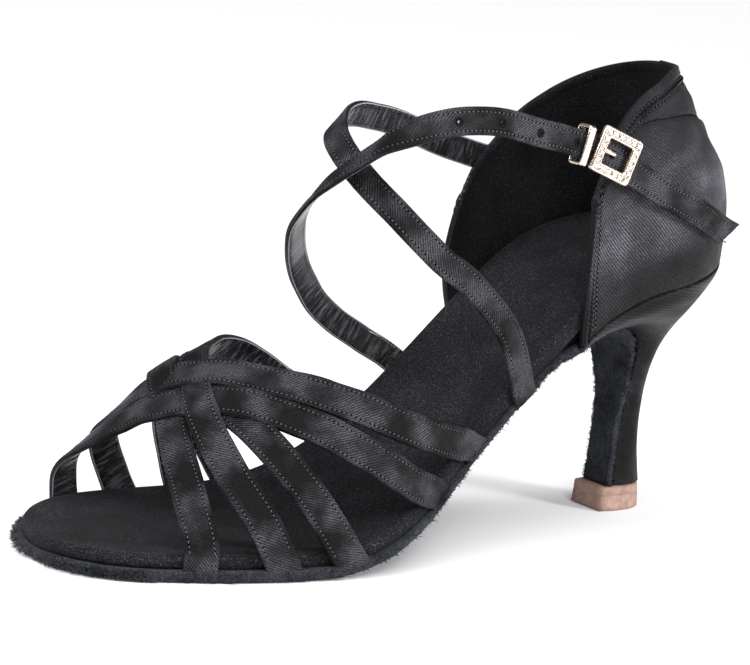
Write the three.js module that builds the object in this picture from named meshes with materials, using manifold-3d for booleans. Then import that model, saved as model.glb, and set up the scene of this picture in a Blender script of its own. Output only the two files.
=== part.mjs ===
// Ballroom dance sandal, left foot: a slim flared heel, a woven five-strap vamp, a closed counter
// and two cross straps that meet over the instep and fasten with a small square buckle.
// Millimetres. Origin: centre of the heel tip's underside. +X to the toe, +Y to the outer side, +Z up.

import * as THREE from 'three';
import { mergeVertices } from 'three/addons/utils/BufferGeometryUtils.js';
import Module from 'manifold-3d';

const wasm = await Module();
wasm.setup();

// Sizes of the last and sole
const INSOLE_LENGTH = 217;
const BALL_WIDTH = 79;
const HEEL_SETBACK = 23.3;
const SEAT_HEIGHT = 84;
const FIT_GAP = 0.3;
const INSOLE_THICKNESS = 3.3;
const INSOLE_ROLL = 1.6;
const INSOLE_DISH = 0.9;
const OUTSOLE_THICKNESS = 3;
const OUTSOLE_RIM = 1.9;
const OUTSOLE_BEVEL = 0.5;
const SKIRT_DEPTH = 10.3;

// Sizes of the heel
const TIP_HEIGHT = 6.6;
const TIP_LENGTH = 16.4;
const TIP_WIDTH = 13.4;
const TIP_FLARE = 0.4;
const SEAT_WIDTH = 57;
const WEDGE_INSET = 2;

// Sizes of the upper
const COUNTER_WALL = 2;
const COUNTER_HEIGHT = 42;
const COUNTER_FRONT_OUTER = 38.5;
const COUNTER_FRONT_INNER = 44;
const VAMP_HEIGHT = 58;
const VAMP_WIDTH = 9;
const CROSS_WIDTH = 7.5;
const CROSS_RISE = 100;
const STRAP_THICKNESS = 1.5;
const STRAP_ROUNDING = 0.4;
const WEAVE_PITCH = 1.25;
const RIDGE_SHIFT = 5.4;
const ANCHOR_REACH = 7;
const TAIL_SLANT = 3.5;

// Sizes of the buckle
const BUCKLE_LENGTH = 14.5;
const BUCKLE_WIDTH = 12.8;
const BUCKLE_BORDER = 2.9;
const BUCKLE_THICKNESS = 1.8;
const BUCKLE_FORWARD = 36.2;
const BUCKLE_LIFT = 0.5;
const LOOP_LENGTH = 2.6;
const LOOP_WIRE = 1.3;
const PRONG_DIAMETER = 1.3;
const TAB_WIDTH = 6.5;
const TAB_THICKNESS = 0.9;
const TAB_REACH = 24;
const TAB_FOLD = 2.4;
const HOLE_DIAMETER = 2.2;
const HOLE_PITCH = 13;
const HOLE_COUNT = 5;

const FOREFOOT_TOP = INSOLE_THICKNESS + FIT_GAP + OUTSOLE_THICKNESS;
const SEAT_RISE = SEAT_HEIGHT - FOREFOOT_TOP;
const HEEL_BASE = TIP_HEIGHT + FIT_GAP;

// The last, a row for each section from the heel's back (0) to the toe (1).
// outer and inner are shares of BALL_WIDTH, rise of SEAT_RISE, ridge of VAMP_HEIGHT,
// board of INSOLE_THICKNESS and rim of OUTSOLE_RIM.
const LAST = [
  { along: 0, outer: 0.333, inner: 0.328, rise: 1, ridge: 1.3, board: 1.45, rim: 0 },
  { along: 0.13, outer: 0.333, inner: 0.328, rise: 0.929, ridge: 1.3, board: 1.45, rim: 0 },
  { along: 0.177, outer: 0.328, inner: 0.32, rise: 0.899, ridge: 1.3, board: 1.45, rim: 0 },
  { along: 0.232, outer: 0.325, inner: 0.3, rise: 0.838, ridge: 1.3, board: 1.45, rim: 0 },
  { along: 0.292, outer: 0.334, inner: 0.28, rise: 0.727, ridge: 1.3, board: 1.45, rim: 0 },
  { along: 0.347, outer: 0.348, inner: 0.265, rise: 0.605, ridge: 1.3, board: 1.45, rim: 1 },
  { along: 0.394, outer: 0.354, inner: 0.257, rise: 0.494, ridge: 1.29, board: 1.4, rim: 1 },
  { along: 0.44, outer: 0.365, inner: 0.262, rise: 0.377, ridge: 1.26, board: 1.35, rim: 1 },
  { along: 0.481, outer: 0.392, inner: 0.278, rise: 0.277, ridge: 1.21, board: 1.25, rim: 1 },
  { along: 0.527, outer: 0.433, inner: 0.311, rise: 0.171, ridge: 1.15, board: 1.12, rim: 1 },
  { along: 0.573, outer: 0.467, inner: 0.362, rise: 0.087, ridge: 1.07, board: 1.04, rim: 1 },
  { along: 0.615, outer: 0.482, inner: 0.418, rise: 0.038, ridge: 1, board: 1, rim: 1 },
  { along: 0.652, outer: 0.477, inner: 0.467, rise: 0.013, ridge: 0.924, board: 1, rim: 1 },
  { along: 0.693, outer: 0.456, inner: 0.5, rise: 0.002, ridge: 0.838, board: 1, rim: 1 },
  { along: 0.72, outer: 0.441, inner: 0.513, rise: 0, ridge: 0.783, board: 1, rim: 1 },
  { along: 0.781, outer: 0.399, inner: 0.522, rise: 0, ridge: 0.612, board: 1, rim: 1 },
  { along: 0.86, outer: 0.36, inner: 0.511, rise: 0, ridge: 0.31, board: 1, rim: 1 },
  { along: 0.92, outer: 0.361, inner: 0.508, rise: 0.002, ridge: 0.2, board: 1, rim: 1 },
  { along: 1, outer: 0.361, inner: 0.506, rise: 0.012, ridge: 0.1, board: 1, rim: 1 },
];

// How the outline closes at each end: reach is the length of the rounding as a share of
// INSOLE_LENGTH, power its fullness, and tip the side place of the end as a share of BALL_WIDTH.
const ENDS = {
  heel: { reach: 0.143, power: 0.55, tip: -0.006 },
  toeOuter: { reach: 0.207, power: 0.5, tip: -0.02 },
  toeInner: { reach: 0.217, power: 0.68, tip: -0.02 },
};

// The outsole behind the waist: its visible face under the seat and down the heel breast.
// forward is a share of HEEL_SETBACK from the heel tip's centre, level a share of the way
// from the heel tip to the seat, outer and inner of SEAT_WIDTH, thick of OUTSOLE_THICKNESS.
const FLAP = [
  { forward: 1.48, level: 0.58, outer: 0.44, inner: 0.385, thick: 1 },
  { forward: 1.2, level: 0.591, outer: 0.35, inner: 0.33, thick: 0.85 },
  { forward: 0.86, level: 0.6, outer: 0.275, inner: 0.27, thick: 0.67 },
  { forward: 0.58, level: 0.6, outer: 0.228, inner: 0.228, thick: 0.67 },
  { forward: 0.37, level: 0.577, outer: 0.2, inner: 0.2, thick: 0.67 },
  { forward: 0.24, level: 0.512, outer: 0.168, inner: 0.168, thick: 0.67 },
  { forward: 0.19, level: 0.429, outer: 0.135, inner: 0.135, thick: 0.67 },
  { forward: 0.185, level: 0.326, outer: 0.104, inner: 0.104, thick: 0.67 },
  { forward: 0.21, level: 0.235, outer: 0.09, inner: 0.09, thick: 0.67 },
  { forward: 0.236, level: 0.144, outer: 0.088, inner: 0.088, thick: 0.67 },
  { forward: 0.262, level: 0.002, outer: 0.095, inner: 0.095, thick: 0.67 },
];

// The heel's sections from the tip up: front and back are shares of HEEL_SETBACK,
// frontUp and backUp shares of the way from the heel tip to the seat, half a share of SEAT_WIDTH,
// mouth the flat front's share of the width, seat how far the section takes the seat's outline
// and drop the depth below the insole's top as a share of SKIRT_DEPTH.
const HEEL = [
  { front: 0.163, frontUp: 0, back: -0.365, backUp: 0, half: 0.104, mouth: 0.94, seat: 0, drop: 1 },
  { front: 0.155, frontUp: 0.066, back: -0.335, backUp: 0.066, half: 0.095, mouth: 0.94, seat: 0, drop: 1 },
  { front: 0.137, frontUp: 0.144, back: -0.3, backUp: 0.144, half: 0.093, mouth: 0.94, seat: 0, drop: 1 },
  { front: 0.112, frontUp: 0.235, back: -0.287, backUp: 0.235, half: 0.095, mouth: 0.94, seat: 0, drop: 1 },
  { front: 0.086, frontUp: 0.326, back: -0.287, backUp: 0.326, half: 0.11, mouth: 0.93, seat: 0, drop: 1 },
  { front: 0.09, frontUp: 0.429, back: -0.297, backUp: 0.42, half: 0.144, mouth: 0.92, seat: 0, drop: 1 },
  { front: 0.14, frontUp: 0.507, back: -0.335, backUp: 0.5, half: 0.19, mouth: 0.9, seat: 0, drop: 1 },
  { front: 0.26, frontUp: 0.583, back: -0.455, backUp: 0.58, half: 0.25, mouth: 0.84, seat: 0, drop: 1 },
  { front: 0.55, frontUp: 0.629, back: -0.66, backUp: 0.652, half: 0.32, mouth: 0.8, seat: 0.05, drop: 1.2 },
  { front: 0.95, frontUp: 0.631, back: -0.85, backUp: 0.733, half: 0.4, mouth: 0.8, seat: 0.25, drop: 1.2 },
  { front: 1.34, frontUp: 0.62, back: -1.0, backUp: 0.81, half: 0.462, mouth: 0.86, seat: 0.65, drop: 1.15 },
  { front: 1.6, frontUp: 0.607, back: -1.08, backUp: 0.869, half: 0.49, mouth: 0.9, seat: 1, drop: 1 },
  { front: 1.6, frontUp: 0.67, back: -1.08, backUp: 0.913, half: 0.49, mouth: 0.9, seat: 1, drop: 0.2 },
];
const HEEL_SHOULDER = 0.35;

// The wedge that fills the space between insole and outsole in front of the seat:
// forward is a share of HEEL_SETBACK, low a share of the way from the heel tip to the seat
const WEDGE = [
  { forward: 1.45, low: 0.603 },
  { forward: 1.6, low: 0.592 },
  { forward: 1.75, low: 0.572 },
  { forward: 2, low: 0.548 },
];

// The counter's wall by height: up is a share of COUNTER_HEIGHT above the seat,
// lean the forward shift of its back as a share of HEEL_SETBACK, girth its width against the seat.
const COUNTER_LEVELS = [
  { up: -1.2, lean: 0, girth: 1 },
  { up: -0.25, lean: 0, girth: 1 },
  { up: -0.1, lean: -0.02, girth: 1.004 },
  { up: 0.1, lean: -0.01, girth: 1.008 },
  { up: 0.34, lean: 0.09, girth: 0.995 },
  { up: 0.53, lean: 0.34, girth: 0.95 },
  { up: 0.74, lean: 0.62, girth: 0.865 },
  { up: 1, lean: 0.88, girth: 0.74 },
];

// The counter's topline on each side, from its front edge (0) to the heel's back (1);
// up is a share of COUNTER_HEIGHT above the seat.
const TOPLINE_OUTER = [
  { depth: 0, up: 0.24 },
  { depth: 0.05, up: 0.4 },
  { depth: 0.185, up: 0.667 },
  { depth: 0.488, up: 0.905 },
  { depth: 0.84, up: 1.015 },
  { depth: 1, up: 1 },
];
const TOPLINE_INNER = [
  { depth: 0, up: 0.02 },
  { depth: 0.072, up: 0.257 },
  { depth: 0.2, up: 0.483 },
  { depth: 0.318, up: 0.652 },
  { depth: 0.569, up: 0.824 },
  { depth: 0.818, up: 0.94 },
  { depth: 1, up: 1 },
];

// The woven vamp: each strap runs over the last from its outer anchor to its inner one.
// The columns give its place along the insole at equal turns over the foot.
const VAMP = [
  { outer: 0.833, turn1: 0.831, turn2: 0.81, turn3: 0.753, turn4: 0.681, inner: 0.612 },
  { outer: 0.745, turn1: 0.783, turn2: 0.777, turn3: 0.71, turn4: 0.605, inner: 0.486 },
  { outer: 0.662, turn1: 0.728, turn2: 0.759, turn3: 0.736, turn4: 0.702, inner: 0.665 },
  { outer: 0.527, turn1: 0.663, turn2: 0.772, turn3: 0.825, turn4: 0.835, inner: 0.827 },
  { outer: 0.467, turn1: 0.613, turn2: 0.729, turn3: 0.789, turn4: 0.789, inner: 0.747 },
];

// How deep the weave's lowest layer is bedded, from the outer anchor (turn 0) to the inner (1);
// layer is in units of WEAVE_PITCH.
const WEAVE_BED = [
  { turn: 0, layer: 0 }, { turn: 0.08, layer: 0 }, { turn: 0.3, layer: 2 }, { turn: 0.68, layer: 2 },
  { turn: 0.92, layer: 0 }, { turn: 1, layer: 0 },
];

// How high each strap rides over the others, a list per strap, in the same units
const WEAVE = [
  [
    { turn: 0, layer: 0 }, { turn: 0.42, layer: 0 }, { turn: 0.46, layer: 0.1 }, { turn: 0.53, layer: 2 },
    { turn: 0.57, layer: 2 }, { turn: 0.66, layer: 0 }, { turn: 1, layer: 0 },
  ],
  [
    { turn: 0, layer: 0 }, { turn: 0.3, layer: 0.3 }, { turn: 0.38, layer: 2 }, { turn: 0.43, layer: 2 },
    { turn: 0.48, layer: 1 }, { turn: 0.53, layer: 1 }, { turn: 0.62, layer: 0 }, { turn: 1, layer: 0 },
  ],
  [
    { turn: 0, layer: 0 }, { turn: 1, layer: 0 },
  ],
  [
    { turn: 0, layer: 0 }, { turn: 0.28, layer: 0.2 }, { turn: 0.34, layer: 1 }, { turn: 0.49, layer: 1 },
    { turn: 0.56, layer: 0 }, { turn: 1, layer: 0 },
  ],
  [
    { turn: 0, layer: 0 }, { turn: 0.36, layer: 0.3 }, { turn: 0.45, layer: 2 }, { turn: 0.5, layer: 2 },
    { turn: 0.54, layer: 1 }, { turn: 0.58, layer: 0.6 }, { turn: 0.66, layer: 0 }, { turn: 1, layer: 0 },
  ],
];

// The cross straps: forward is a share of INSOLE_LENGTH from the heel's back, across of BALL_WIDTH
// (plus to the outer side), above of CROSS_RISE over the seat's level.
const STRAP_TO_COUNTER = [
  { forward: 0.366, across: 0.369, above: -0.475 },
  { forward: 0.378, across: 0.369, above: -0.398 },
  { forward: 0.408, across: 0.372, above: -0.246 },
  { forward: 0.465, across: 0.362, above: -0.117 },
  { forward: 0.516, across: 0.335, above: -0.031 },
  { forward: 0.56, across: 0.253, above: 0.073 },
  { forward: 0.586, across: 0.145, above: 0.155 },
  { forward: 0.59, across: 0.025, above: 0.22 },
  { forward: 0.574, across: -0.07, above: 0.252 },
  { forward: 0.55, across: -0.134, above: 0.272 },
  { forward: 0.518, across: -0.184, above: 0.276 },
  { forward: 0.469, across: -0.24, above: 0.259 },
  { forward: 0.418, across: -0.285, above: 0.232 },
  { forward: 0.347, across: -0.325, above: 0.176 },
  { forward: 0.301, across: -0.334, above: 0.144 },
  { forward: 0.266, across: -0.336, above: 0.122 },
];
const STRAP_TO_BUCKLE = [
  { forward: 0.39, across: -0.272, above: -0.52 },
  { forward: 0.4, across: -0.273, above: -0.44 },
  { forward: 0.447, across: -0.315, above: -0.367 },
  { forward: 0.49, across: -0.32, above: -0.309 },
  { forward: 0.538, across: -0.28, above: -0.229 },
  { forward: 0.582, across: -0.2, above: -0.128 },
  { forward: 0.612, across: -0.11, above: -0.044 },
  { forward: 0.627, across: -0.045, above: 0.016 },
  { forward: 0.63, across: 0.012, above: 0.066 },
  { forward: 0.627, across: 0.08, above: 0.121 },
  { forward: 0.617, across: 0.155, above: 0.172 },
  { forward: 0.602, across: 0.23, above: 0.225 },
  { forward: 0.584, across: 0.287, above: 0.27 },
  { forward: 0.56, across: 0.33, above: 0.298 },
  { forward: 0.52, across: 0.367, above: 0.323 },
  { forward: 0.478, across: 0.386, above: 0.328 },
  { forward: 0.445, across: 0.393, above: 0.321 },
  { forward: 0.39, across: 0.395, above: 0.292 },
  { forward: 0.361, across: 0.395, above: 0.279 },
  { forward: 0.325, across: 0.395, above: 0.258 },
  { forward: 0.275, across: 0.395, above: 0.226 },
  { forward: 0.235, across: 0.393, above: 0.171 },
  { forward: 0.18, across: 0.398, above: 0.11 },
  { forward: 0.122, across: 0.389, above: 0.053 },
  { forward: 0.068, across: 0.358, above: -0.006 },
  { forward: 0.042, across: 0.345, above: -0.026 },
];
// The line of the shin and instep, which the cross straps wrap round
const LEG_LINE = new THREE.Vector3(-0.7, 0, 0.71).normalize();

const mix = (a, b, t) => a + (b - a) * t;

// A smooth curve through one column of a table, without overshoot
function column(rows, across, up) {
  const xs = rows.map((row) => row[across]);
  const ys = rows.map((row) => row[up]);
  const count = xs.length;
  const slopes = [];
  for (let i = 0; i < count - 1; i += 1) slopes.push((ys[i + 1] - ys[i]) / (xs[i + 1] - xs[i]));
  const tangents = [slopes[0]];
  for (let i = 1; i < count - 1; i += 1) {
    const before = xs[i] - xs[i - 1];
    const after = xs[i + 1] - xs[i];
    const flat = slopes[i - 1] * slopes[i] <= 0;
    const first = (2 * after + before) / slopes[i - 1];
    const second = (after + 2 * before) / slopes[i];
    tangents.push(flat ? 0 : (3 * (before + after)) / (first + second));
  }
  tangents.push(slopes[count - 2]);
  return (x) => {
    const at = Math.min(Math.max(x, xs[0]), xs[count - 1]);
    let i = 0;
    while (i < count - 2 && at > xs[i + 1]) i += 1;
    const span = xs[i + 1] - xs[i];
    const t = (at - xs[i]) / span;
    const a = (1 + 2 * t) * (1 - t) * (1 - t) * ys[i];
    const b = t * (1 - t) * (1 - t) * span * tangents[i];
    const c = t * t * (3 - 2 * t) * ys[i + 1];
    const d = t * t * (t - 1) * span * tangents[i + 1];
    return a + b + c + d;
  };
}

const lastOuter = column(LAST, 'along', 'outer');
const lastInner = column(LAST, 'along', 'inner');
const lastRise = column(LAST, 'along', 'rise');
const lastRidge = column(LAST, 'along', 'ridge');
const lastBoard = column(LAST, 'along', 'board');
const lastRim = column(LAST, 'along', 'rim');
const counterLean = column(COUNTER_LEVELS, 'up', 'lean');
const counterGirth = column(COUNTER_LEVELS, 'up', 'girth');
const toplineOuter = column(TOPLINE_OUTER, 'depth', 'up');
const toplineInner = column(TOPLINE_INNER, 'depth', 'up');

const alongOf = (x) => (x + HEEL_SETBACK) / INSOLE_LENGTH;
const placeOf = (along) => along * INSOLE_LENGTH - HEEL_SETBACK;
const heelLevel = (share) => mix(HEEL_BASE, SEAT_HEIGHT, share);
const soleTop = (x) => FOREFOOT_TOP + SEAT_RISE * lastRise(alongOf(x));
const boardAt = (x) => INSOLE_THICKNESS * lastBoard(alongOf(x));

function rounding(distance, end) {
  const t = Math.min(Math.max(distance / end.reach, 0), 1);
  return (1 - (1 - t) ** 2) ** end.power;
}

// The insole's edge on one side (+1 outer, -1 inner) at a place x
function edge(x, side) {
  const along = Math.min(Math.max(alongOf(x), 0), 1);
  const full = side * (side > 0 ? lastOuter(along) : lastInner(along));
  const toe = side > 0 ? ENDS.toeOuter : ENDS.toeInner;
  const atHeel = mix(ENDS.heel.tip, full, rounding(along, ENDS.heel));
  return BALL_WIDTH * mix(toe.tip, atHeel, rounding(1 - along, toe));
}

// A point of the insole's outline moved outwards by an outset
function outline(along, side, outset) {
  const step = 0.0004;
  const a = Math.max(along - step, 0);
  const b = Math.min(along + step, 1);
  const dx = placeOf(b) - placeOf(a);
  const dy = edge(placeOf(b), side) - edge(placeOf(a), side);
  const length = Math.hypot(dx, dy);
  const atEnd = along <= 0 ? -1 : 1;
  const tip = along <= 0 || along >= 1;
  const nx = tip ? atEnd : (-side * dy) / length;
  const ny = tip ? 0 : (side * dx) / length;
  return { x: placeOf(along) + nx * outset, y: edge(placeOf(along), side) + ny * outset };
}

// A point a given depth below the insole's top, square to its profile
function below(x, y, depth) {
  const step = 0.5;
  const rise = soleTop(x + step) - soleTop(x - step);
  const length = Math.hypot(2 * step, rise);
  return new THREE.Vector3(x + (depth * rise) / length, y, soleTop(x) - (depth * 2 * step) / length);
}

// Shares from 0 to 1, closer together towards both ends
function spread(count) {
  const shares = [];
  for (let i = 0; i <= count; i += 1) shares.push(0.5 - 0.5 * Math.cos((Math.PI * i) / count));
  return shares;
}

// Depths from the front edge (0) to the heel's back (1), closer together at the back
function depths(count) {
  const list = [];
  for (let i = 0; i <= count; i += 1) list.push(Math.sin((Math.PI * i) / (2 * count)));
  return list;
}

function fromTriangles(points, triangles) {
  const geometry = new THREE.BufferGeometry();
  const positions = [];
  for (const index of triangles.flat()) positions.push(points[index].x, points[index].y, points[index].z);
  geometry.setAttribute('position', new THREE.Float32BufferAttribute(positions, 3));
  return geometry;
}

// A closed solid for cutting and joining
function solid(geometry) {
  const merged = mergeVertices(geometry, 1e-4);
  const index = Array.from(merged.index.array);
  const build = (flip) => {
    const kept = [];
    for (let i = 0; i < index.length; i += 3) {
      const [a, b, c] = index.slice(i, i + 3);
      if (a !== b && b !== c && c !== a) kept.push(a, flip ? c : b, flip ? b : c);
    }
    return new wasm.Manifold(new wasm.Mesh({
      numProp: 3,
      vertProperties: new Float32Array(merged.attributes.position.array),
      triVerts: new Uint32Array(kept),
    }));
  };
  const made = build(false);
  return made.volume() >= 0 ? made : build(true);
}

// A closed body through rings of equal length, with flat ends
function loft(rings) {
  const size = rings[0].length;
  const points = rings.flat();
  const triangles = [];
  for (let i = 0; i < rings.length - 1; i += 1) {
    for (let j = 0; j < size; j += 1) {
      const a = i * size + j;
      const b = i * size + ((j + 1) % size);
      triangles.push([a, b, b + size], [a, b + size, a + size]);
    }
  }
  const last = (rings.length - 1) * size;
  const middle = (ring) => ring.reduce((sum, p) => sum.add(p), new THREE.Vector3()).divideScalar(size);
  const first = points.length;
  points.push(middle(rings[0]), middle(rings[rings.length - 1]));
  for (let j = 0; j < size; j += 1) {
    const next = (j + 1) % size;
    triangles.push([first, next, j], [first + 1, last + j, last + next]);
  }
  return solid(fromTriangles(points, triangles));
}

// A wall between two grids of points of the same size
function wall(outerGrid, innerGrid) {
  const rows = outerGrid.length;
  const columns = outerGrid[0].length;
  const points = [...outerGrid.flat(), ...innerGrid.flat()];
  const far = rows * columns;
  const at = (i, j) => i * columns + j;
  const triangles = [];
  for (let i = 0; i < rows - 1; i += 1) {
    for (let j = 0; j < columns - 1; j += 1) {
      const [a, b, c, d] = [at(i, j), at(i + 1, j), at(i + 1, j + 1), at(i, j + 1)];
      triangles.push([a, b, c], [a, c, d], [far + a, far + c, far + b], [far + a, far + d, far + c]);
    }
  }
  const rim = [];
  for (let i = 0; i < rows - 1; i += 1) {
    rim.push([at(i + 1, 0), at(i, 0)], [at(i, columns - 1), at(i + 1, columns - 1)]);
  }
  for (let j = 0; j < columns - 1; j += 1) {
    rim.push([at(0, j), at(0, j + 1)], [at(rows - 1, j + 1), at(rows - 1, j)]);
  }
  for (const [a, b] of rim) triangles.push([a, b, far + b], [a, far + b, far + a]);
  return solid(fromTriangles(points, triangles));
}

// The biggest body of a cut result
function mainBody(made) {
  return made.decompose().reduce((best, piece) => (piece.volume() > best.volume() ? piece : best));
}

const group = new THREE.Group();

function addPart(name, made, color, roughness, metalness) {
  const mesh = made.getMesh();
  const positions = [];
  for (let i = 0; i < mesh.numVert; i += 1) {
    const at = i * mesh.numProp;
    positions.push(mesh.vertProperties[at], mesh.vertProperties[at + 1], mesh.vertProperties[at + 2]);
  }
  const geometry = new THREE.BufferGeometry();
  geometry.setAttribute('position', new THREE.Float32BufferAttribute(positions, 3));
  geometry.setIndex(Array.from(mesh.triVerts));
  geometry.computeVertexNormals();
  const part = new THREE.Mesh(geometry, new THREE.MeshStandardMaterial({ color, roughness, metalness }));
  part.name = name;
  group.add(part);
}

// Insole: board and sock in one, its upper edge rolled and its top a little dished.
// grow makes the same body larger all round, for the clearance of its neighbours.
function makeInsole(grow) {
  const shares = spread(54);
  const half = shares.length - 1;
  const size = half * 2;
  const levels = [
    { inset: 0, depth: null },
    { inset: 0, depth: INSOLE_ROLL },
    { inset: 0.3 * INSOLE_ROLL, depth: 0.3 * INSOLE_ROLL - grow },
    { inset: INSOLE_ROLL, depth: -grow },
  ];
  const points = [];
  for (const level of levels) {
    const place = (along, side) => {
      const p = outline(along, side, grow - level.inset);
      const depth = level.depth === null ? boardAt(placeOf(along)) + grow : level.depth;
      const point = below(p.x, p.y, depth);
      point.x = Math.max(point.x, placeOf(0) - grow);
      return point;
    };
    for (const along of shares) points.push(place(along, 1));
    for (const along of shares.slice(1, -1).reverse()) points.push(place(along, -1));
  }
  const triangles = [];
  for (let k = 0; k < levels.length - 1; k += 1) {
    for (let j = 0; j < size; j += 1) {
      const a = k * size + j;
      const b = k * size + ((j + 1) % size);
      triangles.push([a, b + size, b], [a, a + size, b + size]);
    }
  }
  const top = (levels.length - 1) * size;
  const dish = points.length;
  for (let i = 1; i < half; i += 1) {
    const p = points[top + i].clone().add(points[top + size - i]).multiplyScalar(0.5);
    const width = points[top + i].y - points[top + size - i].y;
    p.z -= grow > 0 ? 0 : INSOLE_DISH * Math.min(1, width / (BALL_WIDTH / 2));
    points.push(p);
  }
  const atEnds = (i, base, between) => {
    if (i <= 0) return base;
    return i >= half ? base + half : between;
  };
  const mid = (i) => atEnds(i, top, dish + i - 1);
  const other = (i, base) => atEnds(i, base, base + size - i);
  for (let i = 0; i < half; i += 1) {
    triangles.push([top + i, mid(i), mid(i + 1)], [top + i, mid(i + 1), top + i + 1]);
    triangles.push([mid(i), other(i, top), other(i + 1, top)], [mid(i), other(i + 1, top), mid(i + 1)]);
    triangles.push([i, i + 1, other(i + 1, 0)], [i, other(i + 1, 0), other(i, 0)]);
  }
  return solid(fromTriangles(points, triangles));
}

// The outsole's underside from the toe to the seat, then down the heel breast
function outsolePath() {
  const path = [];
  const handover = HEEL_SETBACK * 2;
  const nearEnd = 0.0003;
  for (const share of spread(54).reverse()) {
    const along = Math.min(Math.max(share, nearEnd), 1 - nearEnd);
    const x = placeOf(along);
    if (x < handover) break;
    const rim = OUTSOLE_RIM * lastRim(along);
    const stretch = rim * Math.max(0, (along - 0.75) / 0.25) ** 2;
    const low = below(x, 0, boardAt(x) + FIT_GAP + OUTSOLE_THICKNESS);
    const outer = edge(x, 1) + rim;
    const inner = edge(x, -1) - rim;
    path.push({ x: low.x + stretch, z: low.z, outer, inner, thick: OUTSOLE_THICKNESS });
  }
  const joint = path.length - 2;
  for (const row of FLAP) {
    path.push({
      x: row.forward * HEEL_SETBACK,
      z: heelLevel(row.level),
      outer: row.outer * SEAT_WIDTH,
      inner: -row.inner * SEAT_WIDTH,
      thick: row.thick * OUTSOLE_THICKNESS,
    });
  }
  const rear = path.slice(joint);
  const line = new THREE.CatmullRomCurve3(rear.map((p) => new THREE.Vector3(p.x, 0, p.z)), false, 'centripetal');
  const spans = rear.length - 1;
  const between = (key, t) => {
    const i = Math.min(Math.floor(t * spans), spans - 1);
    return mix(rear[i][key], rear[i + 1][key], t * spans - i);
  };
  const smooth = [];
  const steps = spans * 3;
  for (let i = 0; i <= steps; i += 1) {
    const t = i / steps;
    const p = line.getPoint(t);
    const [outer, inner, thick] = ['outer', 'inner', 'thick'].map((key) => between(key, t));
    smooth.push({ x: p.x, z: p.z, outer, inner, thick });
  }
  return [...path.slice(0, joint), ...smooth];
}

// grow makes the outsole larger all round and wide stretches its sides
function makeOutsole(grow, wide) {
  const path = outsolePath();
  const rings = path.map((p, i) => {
    const a = path[Math.max(i - 1, 0)];
    const b = path[Math.min(i + 1, path.length - 1)];
    const length = Math.hypot(b.x - a.x, b.z - a.z);
    const along = { x: (b.x - a.x) / length, z: (b.z - a.z) / length };
    let shift = 0;
    if (i === 0) shift = -grow;
    if (i === path.length - 1) shift = grow;
    const bevel = Math.min(OUTSOLE_BEVEL, (p.outer - p.inner) * 0.1);
    const outer = p.outer + grow + wide;
    const inner = p.inner - grow - wide;
    const top = p.thick + grow;
    const section = [
      [inner, top], [inner, bevel - grow], [inner + bevel, -grow],
      [outer - bevel, -grow], [outer, bevel - grow], [outer, top],
    ];
    return section.map(([y, h]) => new THREE.Vector3(
      p.x + along.z * h + along.x * shift,
      y,
      p.z - along.x * h + along.z * shift,
    ));
  });
  return loft(rings);
}

// A point of the counter's wall: depth runs from the front edge to the heel's back,
// v from the skirt's bottom to the topline
function counterPoint(side, depth, v, outset, grow) {
  const front = (side > 0 ? COUNTER_FRONT_OUTER : COUNTER_FRONT_INNER) + grow;
  const share = alongOf(front) * (1 - depth);
  const p = outline(share, side, outset);
  const bottom = soleTop(placeOf(share)) - SKIRT_DEPTH - grow;
  const topline = side > 0 ? toplineOuter(depth) : toplineInner(depth);
  const z = mix(bottom, SEAT_HEIGHT + COUNTER_HEIGHT * topline + grow, v);
  const up = (z - SEAT_HEIGHT) / COUNTER_HEIGHT;
  const length = front + HEEL_SETBACK;
  const scale = (length - counterLean(up) * HEEL_SETBACK) / length;
  return new THREE.Vector3(front + (p.x - front) * scale, p.y * counterGirth(up), z);
}

// The sides of a closed heel, each with its depth, from the outer front round the back
function roundTheHeel(count) {
  const list = depths(count);
  const outer = list.map((depth) => ({ side: 1, depth }));
  const inner = list.slice(0, -1).reverse().map((depth) => ({ side: -1, depth }));
  return [...outer, ...inner];
}

function makeCounter(innerOutset, outerOutset, grow) {
  const sides = roundTheHeel(15);
  const rows = 13;
  const grid = (outset) => {
    const made = [];
    for (let i = 0; i <= rows; i += 1) {
      made.push(sides.map(({ side, depth }) => counterPoint(side, depth, i / rows, outset, grow)));
    }
    return made;
  };
  return wall(grid(outerOutset), grid(innerOutset));
}

// Heel: a D section, flat at the breast and round at the back, growing into the seat
function makeHeelBlock() {
  const sides = roundTheHeel(13);
  const mouthSteps = 3;
  const rings = HEEL.map((row) => {
    const ring = sides.map(({ side, depth }) => {
      const flare = Math.min(depth / HEEL_SHOULDER, 1);
      const turn = Math.max(0, (depth - HEEL_SHOULDER) / (1 - HEEL_SHOULDER));
      const width = mix(row.mouth, 1, Math.sin((flare * Math.PI) / 2)) * Math.sqrt(1 - turn ** 2);
      const slim = new THREE.Vector3(
        mix(row.front, row.back, depth) * HEEL_SETBACK,
        side * width * row.half * SEAT_WIDTH,
        heelLevel(mix(row.frontUp, row.backUp, depth)),
      );
      const front = side > 0 ? COUNTER_FRONT_OUTER : COUNTER_FRONT_INNER;
      const share = alongOf(front) * (1 - depth);
      const p = outline(share, side, COUNTER_WALL + FIT_GAP);
      const seat = new THREE.Vector3(p.x, p.y, soleTop(placeOf(share)) - SKIRT_DEPTH * row.drop);
      return slim.lerp(seat, row.seat);
    });
    const first = ring[0];
    const last = ring[ring.length - 1];
    for (let i = 1; i < mouthSteps; i += 1) ring.push(last.clone().lerp(first, i / mouthSteps));
    return ring;
  });
  return loft(rings);
}

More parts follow.
